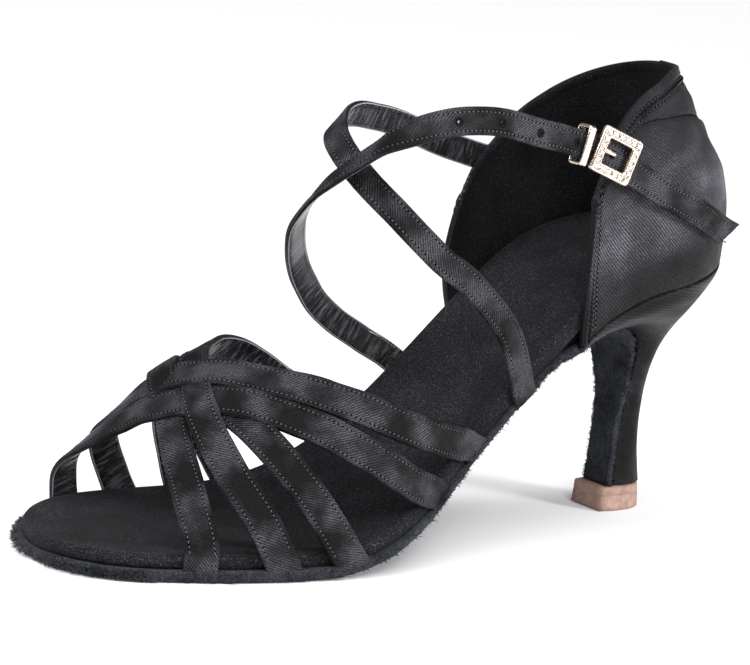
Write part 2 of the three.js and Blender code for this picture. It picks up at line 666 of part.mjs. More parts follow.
function makeHeelWedge() {
  return loft(WEDGE.map((row) => {
    const x = row.forward * HEEL_SETBACK;
    const outer = edge(x, 1) - WEDGE_INSET;
    const inner = edge(x, -1) + WEDGE_INSET;
    const low = heelLevel(row.low);
    const top = soleTop(x) - boardAt(x) / 2;
    return [[outer, low], [outer, top], [inner, top], [inner, low]].map(([y, z]) => new THREE.Vector3(x, y, z));
  }));
}

// Heel tip: flat at the breast side, rounded at the back, slightly wider at the floor
function makeHeelTip() {
  const sides = roundTheHeel(9);
  const mouth = 0.92;
  const roundness = 2.4;
  return loft([0, 1].map((up) => {
    const grow = TIP_FLARE * (1 - up);
    return sides.map(({ side, depth }) => {
      const flare = Math.min(depth / HEEL_SHOULDER, 1);
      const turn = Math.max(0, (depth - HEEL_SHOULDER) / (1 - HEEL_SHOULDER));
      const width = mix(mouth, 1, Math.sin((flare * Math.PI) / 2)) * Math.sqrt(1 - turn ** roundness);
      const x = (TIP_LENGTH / 2 + grow) * (1 - 2 * depth);
      return new THREE.Vector3(x, side * (TIP_WIDTH / 2 + grow) * width, up * TIP_HEIGHT);
    });
  }));
}

// A flat strap along stations, each with a centre, an outward normal and a direction across;
// slant leans a station's section along the strap
function ribbon(stations, width, thickness) {
  const w = width / 2;
  const h = thickness / 2;
  const c = Math.min(STRAP_ROUNDING, h * 0.8);
  const section = [
    [-w, c - h], [-w, h - c], [c - w, h], [w - c, h],
    [w, h - c], [w, c - h], [w - c, -h], [c - w, -h],
  ];
  return loft(stations.map((s) => section.map(([a, b]) => s.centre.clone()
    .addScaledVector(s.across, a)
    .addScaledVector(s.along, ((s.slant || 0) * a) / w)
    .addScaledVector(s.normal, b))));
}

// The last's surface over the forefoot: turn 0 is the outer edge, 1 the inner edge
function lastSurface(x, turn) {
  const sideFullness = 0.9;
  const topFullness = 1.1;
  const clear = FIT_GAP + STRAP_THICKNESS / 2;
  const outer = edge(x, 1) + clear;
  const inner = edge(x, -1) - clear;
  const c = Math.cos(Math.PI * turn);
  const s = Math.sin(Math.PI * turn);
  const reach = ((outer - inner) / 2) * Math.sign(c) * Math.abs(c) ** sideFullness;
  const y = (outer + inner) / 2 + reach - RIDGE_SHIFT * s * s;
  const z = soleTop(x) + VAMP_HEIGHT * lastRidge(alongOf(x)) * Math.abs(s) ** topFullness;
  return new THREE.Vector3(x, y, z);
}

// A curve through equally spaced values
function evenCurve(values) {
  const points = values.map((v, i) => new THREE.Vector3(i, v, 0));
  const line = new THREE.CatmullRomCurve3(points, false, 'catmullrom', 0.5);
  return (t) => line.getPoint(Math.min(Math.max(t, 0), 1)).y;
}

function vampStations(row, layers) {
  const place = evenCurve([row.outer, row.turn1, row.turn2, row.turn3, row.turn4, row.inner].map(placeOf));
  const lift = column(layers, 'turn', 'layer');
  const bed = column(WEAVE_BED, 'turn', 'layer');
  const steps = 38;
  const step = 0.004;
  const edgeTurn = 0.03;
  const stations = [];
  for (let i = 0; i <= steps; i += 1) {
    const turn = i / steps;
    const x = place(turn);
    const before = Math.max(turn - step, 0);
    const after = Math.min(turn + step, 1);
    const along = lastSurface(place(after), after).sub(lastSurface(place(before), before)).normalize();
    const inside = Math.min(Math.max(turn, edgeTurn), 1 - edgeTurn);
    const lengthwise = lastSurface(x + 0.5, inside).sub(lastSurface(x - 0.5, inside));
    const round = lastSurface(x, inside + step).sub(lastSurface(x, inside - step));
    const inward = lengthwise.cross(round).normalize();
    const across = new THREE.Vector3().crossVectors(along, inward).normalize();
    const normal = new THREE.Vector3().crossVectors(across, along).normalize();
    const centre = lastSurface(x, turn).addScaledVector(normal, (bed(turn) - lift(turn)) * WEAVE_PITCH);
    stations.push({ centre, along, across, normal });
  }
  return withAnchors(stations);
}

// Both ends run on down beside the insole, to be trimmed against the outsole
function withAnchors(stations) {
  const extend = (s, direction) => {
    const down = s.along.clone().multiplyScalar(direction);
    const way = new THREE.Vector3(down.x, 0, Math.min(down.z, -0.5)).normalize();
    const side = Math.sign(s.centre.y);
    const x = s.centre.x + way.x * ANCHOR_REACH;
    const y = s.centre.y + edge(x, side) - edge(s.centre.x, side);
    return { ...s, centre: new THREE.Vector3(x, y, s.centre.z + way.z * ANCHOR_REACH) };
  };
  return [extend(stations[0], -1), ...stations, extend(stations[stations.length - 1], 1)];
}

function makeVamp() {
  const straps = VAMP.map((row, i) => ribbon(vampStations(row, WEAVE[i]), VAMP_WIDTH, STRAP_THICKNESS));
  return straps.reduce((sum, strap) => sum.add(strap));
}

function crossCurve(rows) {
  const points = rows.map((row) => new THREE.Vector3(
    placeOf(row.forward),
    row.across * BALL_WIDTH,
    SEAT_HEIGHT + row.above * CROSS_RISE,
  ));
  return new THREE.CatmullRomCurve3(points, false, 'centripetal');
}

// The centre, direction, width line and outward normal of a cross strap at a share of its length
function crossFrame(curve, share) {
  const centre = curve.getPointAt(share);
  const along = curve.getTangentAt(share).normalize();
  const across = LEG_LINE.clone().addScaledVector(along, -LEG_LINE.dot(along)).normalize();
  const normal = new THREE.Vector3().crossVectors(along, across);
  return { centre, along, across, normal };
}

function crossStations(curve, steps) {
  const stations = [];
  for (let i = 0; i <= steps; i += 1) stations.push(crossFrame(curve, i / steps));
  return stations;
}

// The share of a curve's length at which it passes a place x, searched over its later half
function shareAt(curve, x) {
  let low = 0.5;
  let high = 1;
  for (let i = 0; i < 40; i += 1) {
    const middle = (low + high) / 2;
    if (curve.getPointAt(middle).x > x) low = middle;
    else high = middle;
  }
  return low;
}

const buckleCurve = crossCurve(STRAP_TO_BUCKLE);
const buckleStrapLength = buckleCurve.getLength();
const buckleShare = shareAt(buckleCurve, BUCKLE_FORWARD);

// A frame of the buckle strap at a distance from the buckle's middle, its normal outwards
function buckleFrame(distance) {
  const frame = crossFrame(buckleCurve, buckleShare + distance / buckleStrapLength);
  frame.normal.multiplyScalar(Math.sign(frame.normal.y));
  return frame;
}

const buckle = buckleFrame(0);
const loopDistance = -(BUCKLE_LENGTH + LOOP_LENGTH) / 2 - 4 * FIT_GAP;
const loop = buckleFrame(loopDistance);
const loopLow = -(STRAP_THICKNESS / 2 + TAB_THICKNESS + 2 * FIT_GAP);
const loopHigh = STRAP_THICKNESS / 2 + FIT_GAP;

// A point in a frame's own directions
function within(frame, along, across, out) {
  return frame.centre.clone()
    .addScaledVector(frame.along, along)
    .addScaledVector(frame.across, across)
    .addScaledVector(frame.normal, out);
}

// A rounded block in a frame's directions between two heights, with bevelled rims
function block(frame, length, width, low, high, corner, bevel) {
  const ring = (inset, out) => {
    const points = [];
    const radius = Math.max(corner - inset, 0.05);
    const l = length / 2 - inset - radius;
    const w = width / 2 - inset - radius;
    const steps = 3;
    for (const [a, b, quarter] of [[1, 1, 0], [-1, 1, 1], [-1, -1, 2], [1, -1, 3]]) {
      for (let i = 0; i <= steps; i += 1) {
        const angle = (Math.PI / 2) * (quarter + i / steps);
        points.push(within(frame, a * l + radius * Math.cos(angle), b * w + radius * Math.sin(angle), out));
      }
    }
    return points;
  };
  if (bevel === 0) return loft([ring(0, low), ring(0, high)]);
  return loft([ring(bevel, low), ring(0, low + bevel), ring(0, high - bevel), ring(bevel, high)]);
}

// A round rod along a short line of points
function rod(points, diameter) {
  const curve = new THREE.CatmullRomCurve3(points, false, 'centripetal');
  const steps = 8;
  const sides = 10;
  const frames = curve.computeFrenetFrames(steps, false);
  const rings = [];
  for (let i = 0; i <= steps; i += 1) {
    const centre = curve.getPointAt(i / steps);
    const ring = [];
    for (let j = 0; j < sides; j += 1) {
      const angle = (2 * Math.PI * j) / sides;
      ring.push(centre.clone()
        .addScaledVector(frames.normals[i], (Math.cos(angle) * diameter) / 2)
        .addScaledVector(frames.binormals[i], (Math.sin(angle) * diameter) / 2));
    }
    rings.push(ring);
  }
  return loft(rings);
}

function makeBuckleFrame() {
  const low = STRAP_THICKNESS / 2 + BUCKLE_LIFT;
  const high = low + BUCKLE_THICKNESS;
  const openLength = BUCKLE_LENGTH - 2 * BUCKLE_BORDER;
  const openWidth = BUCKLE_WIDTH - 2 * BUCKLE_BORDER;
  const body = block(buckle, BUCKLE_LENGTH, BUCKLE_WIDTH, low, high, 1.2, 0.4);
  return body.subtract(block(buckle, openLength, openWidth, low - 1, high + 1, 0.5, 0));
}

// The loop round the strap in front of the buckle
function makeLoop() {
  const inside = CROSS_WIDTH + 4 * FIT_GAP;
  const outside = inside + 2 * LOOP_WIRE;
  const body = block(loop, LOOP_LENGTH, outside, loopLow - LOOP_WIRE, loopHigh + LOOP_WIRE, 0.4, 0.4);
  return body.subtract(block(loop, LOOP_LENGTH + 2, inside, loopLow, loopHigh, 0.05, 0));
}

// The prong reaches from the frame's front border over the opening and down into a hole
function makeProng() {
  const height = STRAP_THICKNESS / 2 + BUCKLE_LIFT + BUCKLE_THICKNESS / 2;
  const start = BUCKLE_BORDER + FIT_GAP - BUCKLE_LENGTH / 2;
  const line = [
    [start, height], [start * 0.6, height], [-PRONG_DIAMETER / 2, height],
    [0, height - PRONG_DIAMETER / 2], [0, -STRAP_THICKNESS / 4],
  ];
  return rod(line.map(([along, out]) => within(buckle, along, 0, out)), PRONG_DIAMETER);
}

function punched(strap) {
  let made = strap;
  for (let i = 0; i < HOLE_COUNT; i += 1) {
    const frame = buckleFrame(-i * HOLE_PITCH);
    const reach = STRAP_THICKNESS * 1.5;
    const line = [-reach, 0, reach].map((out) => within(frame, 0, 0, out));
    made = made.subtract(rod(line, HOLE_DIAMETER));
  }
  return made;
}

// The counter's outer face on the outer side, at the place and height of a point
function counterFace(point) {
  const up = (point.z - SEAT_HEIGHT) / COUNTER_HEIGHT;
  const length = COUNTER_FRONT_OUTER + HEEL_SETBACK;
  const scale = (length - counterLean(up) * HEEL_SETBACK) / length;
  const behind = Math.min(point.x - COUNTER_FRONT_OUTER, 0);
  return (edge(COUNTER_FRONT_OUTER + behind / scale, 1) + FIT_GAP + COUNTER_WALL) * counterGirth(up);
}

// Tab: a folded strap that holds the loop and is sewn to the counter
function makeTab() {
  const fold = LOOP_WIRE / 2 + FIT_GAP + TAB_THICKNESS / 2;
  const leg = loopLow - LOOP_WIRE / 2;
  const corner = LOOP_LENGTH / 2;
  const stations = [];
  const put = (along, out, turn) => {
    const way = loop.along.clone().multiplyScalar(Math.cos(turn)).addScaledVector(loop.normal, -Math.sin(turn));
    const normal = loop.normal.clone().multiplyScalar(Math.cos(turn)).addScaledVector(loop.along, Math.sin(turn));
    stations.push({ centre: within(loop, along, 0, out), along: way, across: loop.across, normal });
  };
  put(corner + TAB_FOLD, leg + fold, Math.PI);
  put(-corner, leg + fold, Math.PI);
  const steps = 8;
  for (let i = 1; i < steps; i += 1) {
    const turn = Math.PI * (1 - i / steps);
    put(-corner - fold * Math.sin(turn), leg - fold * Math.cos(turn), turn);
  }
  put(-corner, leg - fold, 0);
  const start = stations[stations.length - 1].centre.y;
  const spans = 8;
  for (let i = 1; i <= spans; i += 1) {
    const frame = buckleFrame(loopDistance + (TAB_REACH * i) / spans);
    const level = counterFace(frame.centre) + 2 * FIT_GAP + TAB_THICKNESS / 2;
    const ease = Math.min((i / spans) * 2.4, 1);
    frame.centre.y = mix(start, level, ease * ease * (3 - 2 * ease));
    stations.push(frame);
  }
  return ribbon(stations, TAB_WIDTH, TAB_THICKNESS);
}

// Neighbours set out at the full gap are checked against a slightly smaller room
const insoleRoom = makeInsole(FIT_GAP);
const insoleGuard = makeInsole(FIT_GAP * 0.8);
const outsoleRoom = makeOutsole(FIT_GAP, 0);
const strapFloor = makeOutsole(FIT_GAP, STRAP_THICKNESS * 5);
const counterOutset = FIT_GAP + COUNTER_WALL;
const counterRoom = makeCounter(0, counterOutset * 3, FIT_GAP);

const trim = (straps) => mainBody(straps.subtract(insoleGuard).subtract(strapFloor));
const heelRaw = makeHeelBlock().add(makeHeelWedge());
const heel = mainBody(heelRaw.subtract(insoleRoom).subtract(outsoleRoom).subtract(counterRoom));
const counter = makeCounter(FIT_GAP, counterOutset, 0).subtract(insoleGuard).subtract(outsoleRoom);
const toCounter = ribbon(crossStations(crossCurve(STRAP_TO_COUNTER), 50), CROSS_WIDTH, STRAP_THICKNESS);
const toBuckleStations = crossStations(buckleCurve, 72);
toBuckleStations[toBuckleStations.length - 1].slant = TAIL_SLANT;
const toBuckle = punched(ribbon(toBuckleStations, CROSS_WIDTH, STRAP_THICKNESS));

addPart('outsole', mainBody(makeOutsole(0, 0).subtract(insoleGuard)), 0x1f232b, 0.95, 0);
addPart('insole', makeInsole(0), 0x17181b, 0.9, 0);
addPart('heel', heel, 0x26272b, 0.55, 0);
addPart('heel_tip', makeHeelTip(), 0x9b7a70, 0.7, 0);
addPart('counter', mainBody(counter), 0x222327, 0.5, 0);
addPart('vamp_straps', trim(makeVamp()), 0x26272b, 0.5, 0);
addPart('cross_strap_to_counter', trim(toCounter), 0x28292d, 0.5, 0);
addPart('cross_strap_to_buckle', trim(toBuckle), 0x28292d, 0.5, 0);
addPart('buckle_frame', makeBuckleFrame(), 0xe6d3bd, 0.25, 1);
addPart('buckle_loop', makeLoop(), 0xe0c8ae, 0.25, 1);
addPart('buckle_prong', makeProng(), 0xe0c8ae, 0.25, 1);
addPart('buckle_tab', makeTab(), 0x1b1c1f, 0.7, 0);

export default group;
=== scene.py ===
"""Looks of the ballroom dance sandal: satin straps and counter, microfibre insole, suede sole.

Sizes are in millimetres in the shoe's own frame, and turned into metres when a mesh is made.
"""

import bisect
import math

import bmesh
import bpy
import numpy as np
from mathutils import Matrix


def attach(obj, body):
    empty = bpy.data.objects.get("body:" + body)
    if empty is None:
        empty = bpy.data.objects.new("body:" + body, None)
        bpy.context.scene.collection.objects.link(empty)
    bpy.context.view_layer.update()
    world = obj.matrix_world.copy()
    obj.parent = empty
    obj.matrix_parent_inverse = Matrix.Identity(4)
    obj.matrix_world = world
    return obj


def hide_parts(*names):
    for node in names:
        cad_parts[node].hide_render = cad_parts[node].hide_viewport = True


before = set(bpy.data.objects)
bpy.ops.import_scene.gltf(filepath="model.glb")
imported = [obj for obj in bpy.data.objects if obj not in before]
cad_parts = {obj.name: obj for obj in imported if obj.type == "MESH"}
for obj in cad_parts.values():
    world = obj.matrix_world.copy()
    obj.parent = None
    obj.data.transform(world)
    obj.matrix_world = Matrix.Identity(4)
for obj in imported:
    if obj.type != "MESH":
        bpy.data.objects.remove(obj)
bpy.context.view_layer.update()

MM = 0.001
SEED = 11

# Sizes of the last, sole and heel
INSOLE_LENGTH = 217.0
BALL_WIDTH = 79.0
HEEL_SETBACK = 23.3
SEAT_HEIGHT = 84.0
FIT_GAP = 0.3
INSOLE_THICKNESS = 3.3
INSOLE_ROLL = 1.6
INSOLE_DISH = 0.9
OUTSOLE_THICKNESS = 3.0
OUTSOLE_RIM = 1.9
ARCH_THINNER = 1.5
SKIRT_DEPTH = 10.3
TIP_HEIGHT = 6.6
TIP_LENGTH = 16.4
TIP_WIDTH = 13.4
TIP_FLARE = 0.4
SEAT_WIDTH = 57.0
WEDGE_INSET = 2.0

# Sizes of the upper and buckle
COUNTER_WALL = 2.0
COUNTER_HEIGHT = 42.0
COUNTER_FRONT_OUTER = 38.5
COUNTER_FRONT_INNER = 44.0
VAMP_HEIGHT = 58.0
VAMP_WIDTH = 9.0
CROSS_WIDTH = 7.5
CROSS_RISE = 100.0
STRAP_THICKNESS = 1.5
WEAVE_PITCH = 1.25
RIDGE_SHIFT = 5.4
TAIL_SLANT = 2.4
BUCKLE_LENGTH = 14.5
BUCKLE_WIDTH = 12.8
BUCKLE_BORDER = 2.9
BUCKLE_THICKNESS = 1.8
BUCKLE_FORWARD = 37.2
BUCKLE_LIFT = 0.5
LOOP_LENGTH = 2.6
LOOP_WIRE = 1.3
PRONG_DIAMETER = 1.3
TAB_WIDTH = 6.5
TAB_THICKNESS = 0.9
TAB_REACH = 24.0
TAB_FOLD = 2.4
HOLE_DIAMETER = 2.2
HOLE_PITCH = 13.0
HOLE_COUNT = 5

# How deep the ends of the straps run into the outsole, and how short the free end is cut
SINK = 1.2
TAIL_CUT = 4.6

# Sizes of the sewing
STITCH_PITCH = 1.3
STITCH_LENGTH = 0.85
STITCH_WIDTH = 0.3
STITCH_INSET = 1.3

FOREFOOT_TOP = INSOLE_THICKNESS + FIT_GAP + OUTSOLE_THICKNESS
SEAT_RISE = SEAT_HEIGHT - FOREFOOT_TOP
HEEL_BASE = TIP_HEIGHT + FIT_GAP
LOOP_PLACE = -(BUCKLE_LENGTH + LOOP_LENGTH) / 2 - 4 * FIT_GAP


def table(names, rows):
    """Rows of numbers as dictionaries with named columns"""
    keys = names.split()
    return [dict(zip(keys, row)) for row in rows]


LAST = table("along outer inner rise ridge board rim", [
    (0, .333, .328, 1, 1.3, 1.45, 0), (.13, .333, .328, .929, 1.3, 1.45, 0),
    (.177, .328, .32, .899, 1.3, 1.45, 0), (.232, .325, .3, .838, 1.3, 1.45, 0),
    (.292, .334, .28, .727, 1.3, 1.45, 0), (.347, .348, .265, .605, 1.3, 1.45, 1),
    (.394, .354, .257, .494, 1.29, 1.4, 1), (.44, .365, .262, .377, 1.26, 1.35, 1),
    (.481, .392, .278, .277, 1.21, 1.25, 1), (.527, .433, .311, .171, 1.15, 1.12, 1),
    (.573, .467, .362, .087, 1.07, 1.04, 1), (.615, .482, .418, .038, 1, 1, 1),
    (.652, .477, .467, .013, .924, 1, 1), (.693, .456, .5, .002, .838, 1, 1),
    (.72, .441, .513, 0, .783, 1, 1), (.781, .399, .522, 0, .612, 1, 1),
    (.86, .36, .511, 0, .31, 1, 1), (.92, .361, .508, .002, .2, 1, 1),
    (1, .361, .506, .012, .1, 1, 1),
])
ENDS = {
    "heel": (.143, .55, -.006),
    "toe_outer": (.207, .5, -.05),
    "toe_inner": (.15, .6, -.05),
}
FLAP = table("forward level outer inner thick", [
    (1.48, .58, .44, .385, 1), (1.2, .591, .35, .33, .85), (.86, .6, .275, .27, .67),
    (.58, .6, .228, .228, .67), (.37, .577, .2, .2, .67), (.24, .512, .168, .168, .67),
    (.19, .429, .135, .135, .67), (.185, .326, .104, .104, .67), (.21, .235, .09, .09, .67),
    (.236, .144, .088, .088, .67), (.262, .002, .095, .095, .67),
])
HEEL = table("front front_up back back_up half mouth seat drop", [
    (.163, 0, -.365, 0, .104, .94, 0, 1), (.155, .066, -.335, .066, .095, .94, 0, 1),
    (.137, .144, -.3, .144, .093, .94, 0, 1), (.112, .235, -.287, .235, .095, .94, 0, 1),
    (.086, .326, -.287, .326, .11, .93, 0, 1), (.09, .429, -.297, .42, .144, .92, 0, 1),
    (.14, .507, -.335, .5, .19, .9, 0, 1), (.26, .583, -.455, .58, .25, .84, 0, 1),
    (.55, .629, -.66, .652, .32, .8, .05, 1.2), (.95, .631, -.85, .733, .4, .8, .25, 1.2),
    (1.34, .62, -1.0, .81, .462, .86, .65, 1.15), (1.6, .607, -1.08, .869, .49, .9, 1, 1),
])
HEEL_SHOULDER = 0.35
WEDGE = table("forward low", [(1.45, .603), (1.6, .592), (1.75, .572), (2, .548)])
COUNTER_LEVELS = table("up lean girth", [
    (-1.2, 0, 1), (-.25, 0, 1), (-.1, -.02, 1.004), (.1, -.01, 1.008),
    (.34, .09, .995), (.53, .31, .95), (.74, .56, .87), (1, .84, .745),
])
TOPLINE_OUTER = table("depth up", [
    (0, .24), (.05, .4), (.185, .667), (.488, .905), (.84, 1.015), (1, 1),
])
TOPLINE_INNER = table("depth up", [
    (0, .02), (.072, .24), (.2, .44), (.318, .585), (.569, .755), (.818, .9), (1, .99),
])
VAMP = [
    (.833, .831, .81, .753, .681, .612),
    (.745, .783, .777, .71, .605, .486),
    (.662, .728, .759, .736, .702, .665),
    (.527, .663, .772, .825, .835, .827),
    (.467, .613, .729, .789, .789, .747),
]
WEAVE_BED = [(0, 0), (.08, 0), (.3, 2), (.68, 2), (.92, 0), (1, 0)]
WEAVE = [
    [(0, 0), (.42, 0), (.46, .1), (.53, 2), (.57, 2), (.66, 0), (1, 0)],
    [(0, 0), (.3, .3), (.38, 2), (.43, 2), (.48, 1), (.53, 1), (.62, 0), (1, 0)],
    [(0, 0), (1, 0)],
    [(0, 0), (.28, .2), (.34, 1), (.49, 1), (.56, 0), (1, 0)],
    [(0, 0), (.36, .3), (.45, 2), (.5, 2), (.54, 1), (.58, .6), (.66, 0), (1, 0)],
]
STRAP_TO_COUNTER = [
    (.366, .369, -.475), (.378, .369, -.398), (.408, .372, -.246), (.465, .362, -.117),
    (.516, .335, -.031), (.56, .253, .073), (.586, .145, .155), (.59, .025, .22),
    (.574, -.07, .252), (.55, -.134, .272), (.518, -.184, .276), (.469, -.24, .259),
    (.418, -.285, .232), (.347, -.325, .176), (.301, -.334, .144), (.266, -.336, .122),
]
STRAP_TO_BUCKLE = [
    (.39, -.272, -.52), (.4, -.273, -.44), (.447, -.315, -.367), (.49, -.32, -.309),
    (.538, -.28, -.229), (.582, -.2, -.128), (.612, -.11, -.044), (.627, -.045, .016),
    (.63, .012, .066), (.627, .08, .121), (.617, .155, .172), (.602, .23, .225),
    (.584, .287, .27), (.56, .33, .298), (.52, .367, .323), (.478, .386, .328),
    (.445, .393, .321), (.39, .395, .292), (.361, .395, .279), (.325, .395, .258),
    (.275, .395, .226), (.235, .393, .171), (.18, .398, .11), (.122, .389, .053),
    (.068, .358, -.006), (.042, .345, -.026),
]
LEG_LINE = np.array([-.7, 0, .71]) / math.hypot(.7, .71)

# Soft folds of the counter: side (+1 outer), depth from the front (0) to the back (1), height up
# the wall from the seat, reach round and up the wall, slope, and height of the ridge
PATCH_DEPTH = 17.0
PATCH_START = .3
PATCH_TOP = 4.5
COUNTER_FOLDS = table("side depth up reach rise slope height", [
    (1, .86, 33.5, 15, 1.6, -.1, .5), (1, .84, 29.8, 14, 1.5, -.08, -.4),
    (1, .85, 26.4, 15, 1.9, -.12, .45), (1, .88, 22.4, 13, 1.8, -.1, -.3),
    (1, .62, 24, 10, 2.6, .35, -.3), (1, .36, 8, 4, 9, 0, .25),
    (1, .22, 14, 2.4, 10, 0, -.25), (1, .5, -4, 16, 3.4, .12, .3),
    (-1, .8, 31, 13, 1.8, .1, .4), (-1, .82, 27, 14, 1.7, .1, -.3),
    (-1, .5, 16, 12, 4, -.25, -.35), (-1, .3, 4, 8, 4, -.3, .3),
])
# Soft folds of each strap: share of its length, side place, reach along and across, height
STRAP_FOLDS = {
    "vamp_1": [(.3, 1, 5, 3, .2), (.44, -2, 3, 5, -.3), (.62, 1, 3, 5, -.25), (.8, 0, 6, 3, .2)],
    "vamp_2": [(.16, 2, 6, 2, .2), (.33, 0, 3, 6, -.3), (.57, 0, 3, 6, -.25), (.75, -1, 6, 3, .2)],
    "vamp_3": [(.2, 0, 7, 3, .25), (.36, 0, 3, 6, -.3), (.66, 0, 3, 6, -.25)],
    "vamp_4": [(.12, 1, 8, 2, .2), (.27, 0, 3, 6, -.3), (.55, -1, 3, 5, -.3), (.8, 0, 6, 3, .2)],
    "vamp_5": [(.15, -1, 7, 3, .2), (.34, 0, 3, 6, -.3), (.6, 0, 3, 6, -.3), (.85, 0, 5, 3, .2)],
    "to_counter": [
        (.12, 1, 5, 3, .2), (.38, -1, 4, 4, -.25), (.46, 1, 4, 4, .25), (.8, 0, 6, 3, .2),
    ],
    "to_buckle": [
        (.1, 0, 5, 3, .2), (.36, 0, 4, 4, -.25), (.52, 1, 5, 3, .25), (.63, -1, 5, 3, -.2),
        (.93, 1.5, 2, 2, .3), (.955, -1, 1.6, 2.5, -.35), (.975, 1, 1.4, 2, .35), (.99, -1, 1.2, 2, .3),
    ],
}
# Hollows that a foot has left in the insole: along, side share, reach along and across, depth
FOOT_HOLLOWS = [
    (.1, 0, 20, 17, .35), (.7, .1, 22, 24, .35), (.87, -.35, 8, 8, .25), (.5, .2, 22, 10, -.3),
]

# Rows and columns of the meshes
STRAP_STEPS = 170
END_RINGS = 5
COUNTER_COLUMNS = 110
COUNTER_ROWS = 110
EDGE_COLUMNS = 22
EDGE_SPACING = .0045
INNER_BULGE = 3.6
RIM_STEPS = 5
RIM_RISE = .85
INSOLE_STEPS = 170
SOLE_STEPS = 190
HEEL_ROWS = 90
FIBRE_COUNT = 12000

# Where the footbed ends, as a share of its length in the solids
TOE_END = .965

# Painted sheen and shade across the counter: share of BAND_REACH up the wall, and how light the satin is painted
# there, lighter in the middle of the wall, darker at its foot and top
BAND_REACH = 60
COUNTER_PAINTED_SHEEN_AND_SHADE = ((0, .2), (.16, .3), (.32, 1.5), (.47, 1.6), (.58, 1.1), (.66, .6), (.85, .4))

# Ridges and grooves: distance from the edge, half width, height
COLLAR_RELIEF = [(.9, .75, .22), (2.1, .36, -.6), (3.1, .6, .2), (4.1, .35, -.45)]
FRONT_RELIEF = [(.9, .8, .4), (2.1, .42, -1.1), (4.2, .6, -.35)]
INSIDE_RELIEF = [(1.2, .8, -.25), (2.6, .35, .14)]


def column(rows, across, up):
    """A smooth curve through one column of a table, without overshoot"""
    xs = [row[across] for row in rows]
    ys = [row[up] for row in rows]
    count = len(xs)
    slopes = [(ys[i + 1] - ys[i]) / (xs[i + 1] - xs[i]) for i in range(count - 1)]
    tangents = [slopes[0]]
    for i in range(1, count - 1):
        before = xs[i] - xs[i - 1]
        after = xs[i + 1] - xs[i]
        if slopes[i - 1] * slopes[i] <= 0:
            tangents.append(0.0)
        else:
            first = (2 * after + before) / slopes[i - 1]
            second = (after + 2 * before) / slopes[i]
            tangents.append(3 * (before + after) / (first + second))
    tangents.append(slopes[-1])

    def value(x):
        at = min(max(x, xs[0]), xs[-1])
        i = min(max(bisect.bisect_left(xs, at) - 1, 0), count - 2)
        span = xs[i + 1] - xs[i]
        t = (at - xs[i]) / span
        return ((1 + 2 * t) * (1 - t) ** 2 * ys[i] + t * (1 - t) ** 2 * span * tangents[i]
                + t * t * (3 - 2 * t) * ys[i + 1] + t * t * (t - 1) * span * tangents[i + 1])

    return value


def mix(a, b, t):
    return a + (b - a) * t


def unit(v):
    return v / max(np.linalg.norm(v), 1e-9)


last_outer, last_inner, last_rise, last_ridge, last_board, last_rim = (
    column(LAST, "along", key) for key in ("outer", "inner", "rise", "ridge", "board", "rim"))
counter_lean = column(COUNTER_LEVELS, "up", "lean")
counter_girth = column(COUNTER_LEVELS, "up", "girth")
topline_outer = column(TOPLINE_OUTER, "depth", "up")
topline_inner = column(TOPLINE_INNER, "depth", "up")


def along_of(x):
    return (x + HEEL_SETBACK) / INSOLE_LENGTH


def place_of(along):
    return along * INSOLE_LENGTH - HEEL_SETBACK


def heel_level(share):
    return mix(HEEL_BASE, SEAT_HEIGHT, share)


def sole_top(x):
    return FOREFOOT_TOP + SEAT_RISE * last_rise(along_of(x))


def board_at(x):
    return INSOLE_THICKNESS * last_board(along_of(x))


def rounding(distance, end):
    t = min(max(distance / end[0], 0), 1)
    return (1 - (1 - t) ** 2) ** end[1]


def edge(x, side):
    """The insole's edge on one side (+1 outer, -1 inner) at a place x"""
    along = min(max(along_of(x), 0), 1)
    full = side * (last_outer(along) if side > 0 else last_inner(along))
    toe = ENDS["toe_outer"] if side > 0 else ENDS["toe_inner"]
    at_heel = mix(ENDS["heel"][2], full, rounding(along, ENDS["heel"]))
    return BALL_WIDTH * mix(toe[2], at_heel, rounding(TOE_END - along, toe))


def outline(along, side, outset):
    """A point of the insole's outline moved outwards"""
    a, b = max(along - .0004, 0), min(along + .0004, TOE_END)
    dx = place_of(b) - place_of(a)
    dy = edge(place_of(b), side) - edge(place_of(a), side)
    length = math.hypot(dx, dy)
    if along <= 0 or along >= TOE_END:
        nx, ny = (-1 if along <= 0 else 1), 0
    else:
        nx, ny = -side * dy / length, side * dx / length
    return place_of(along) + nx * outset, edge(place_of(along), side) + ny * outset


def below(x, y, depth):
    """A point a given depth below the insole's top, square to its profile"""
    rise = sole_top(x + .5) - sole_top(x - .5)
    length = math.hypot(1, rise)
    return np.array([x + depth * rise / length, y, sole_top(x) - depth / length])


def spread(count):
    return [.5 - .5 * math.cos(math.pi * i / count) for i in range(count + 1)]


def waves(x, seed, scale):
    """A smooth uneven line, about -1 to 1, with features about scale long"""
    total = np.zeros_like(np.asarray(x, float))
    for k in range(5):
        turn = 1.7 * seed + 2.3 * k
        pace = 2 * math.pi / scale * (.55 + .37 * k)
        total = total + np.sin(np.asarray(x) * pace + turn) / (1 + .5 * k)
    return total / 2.2


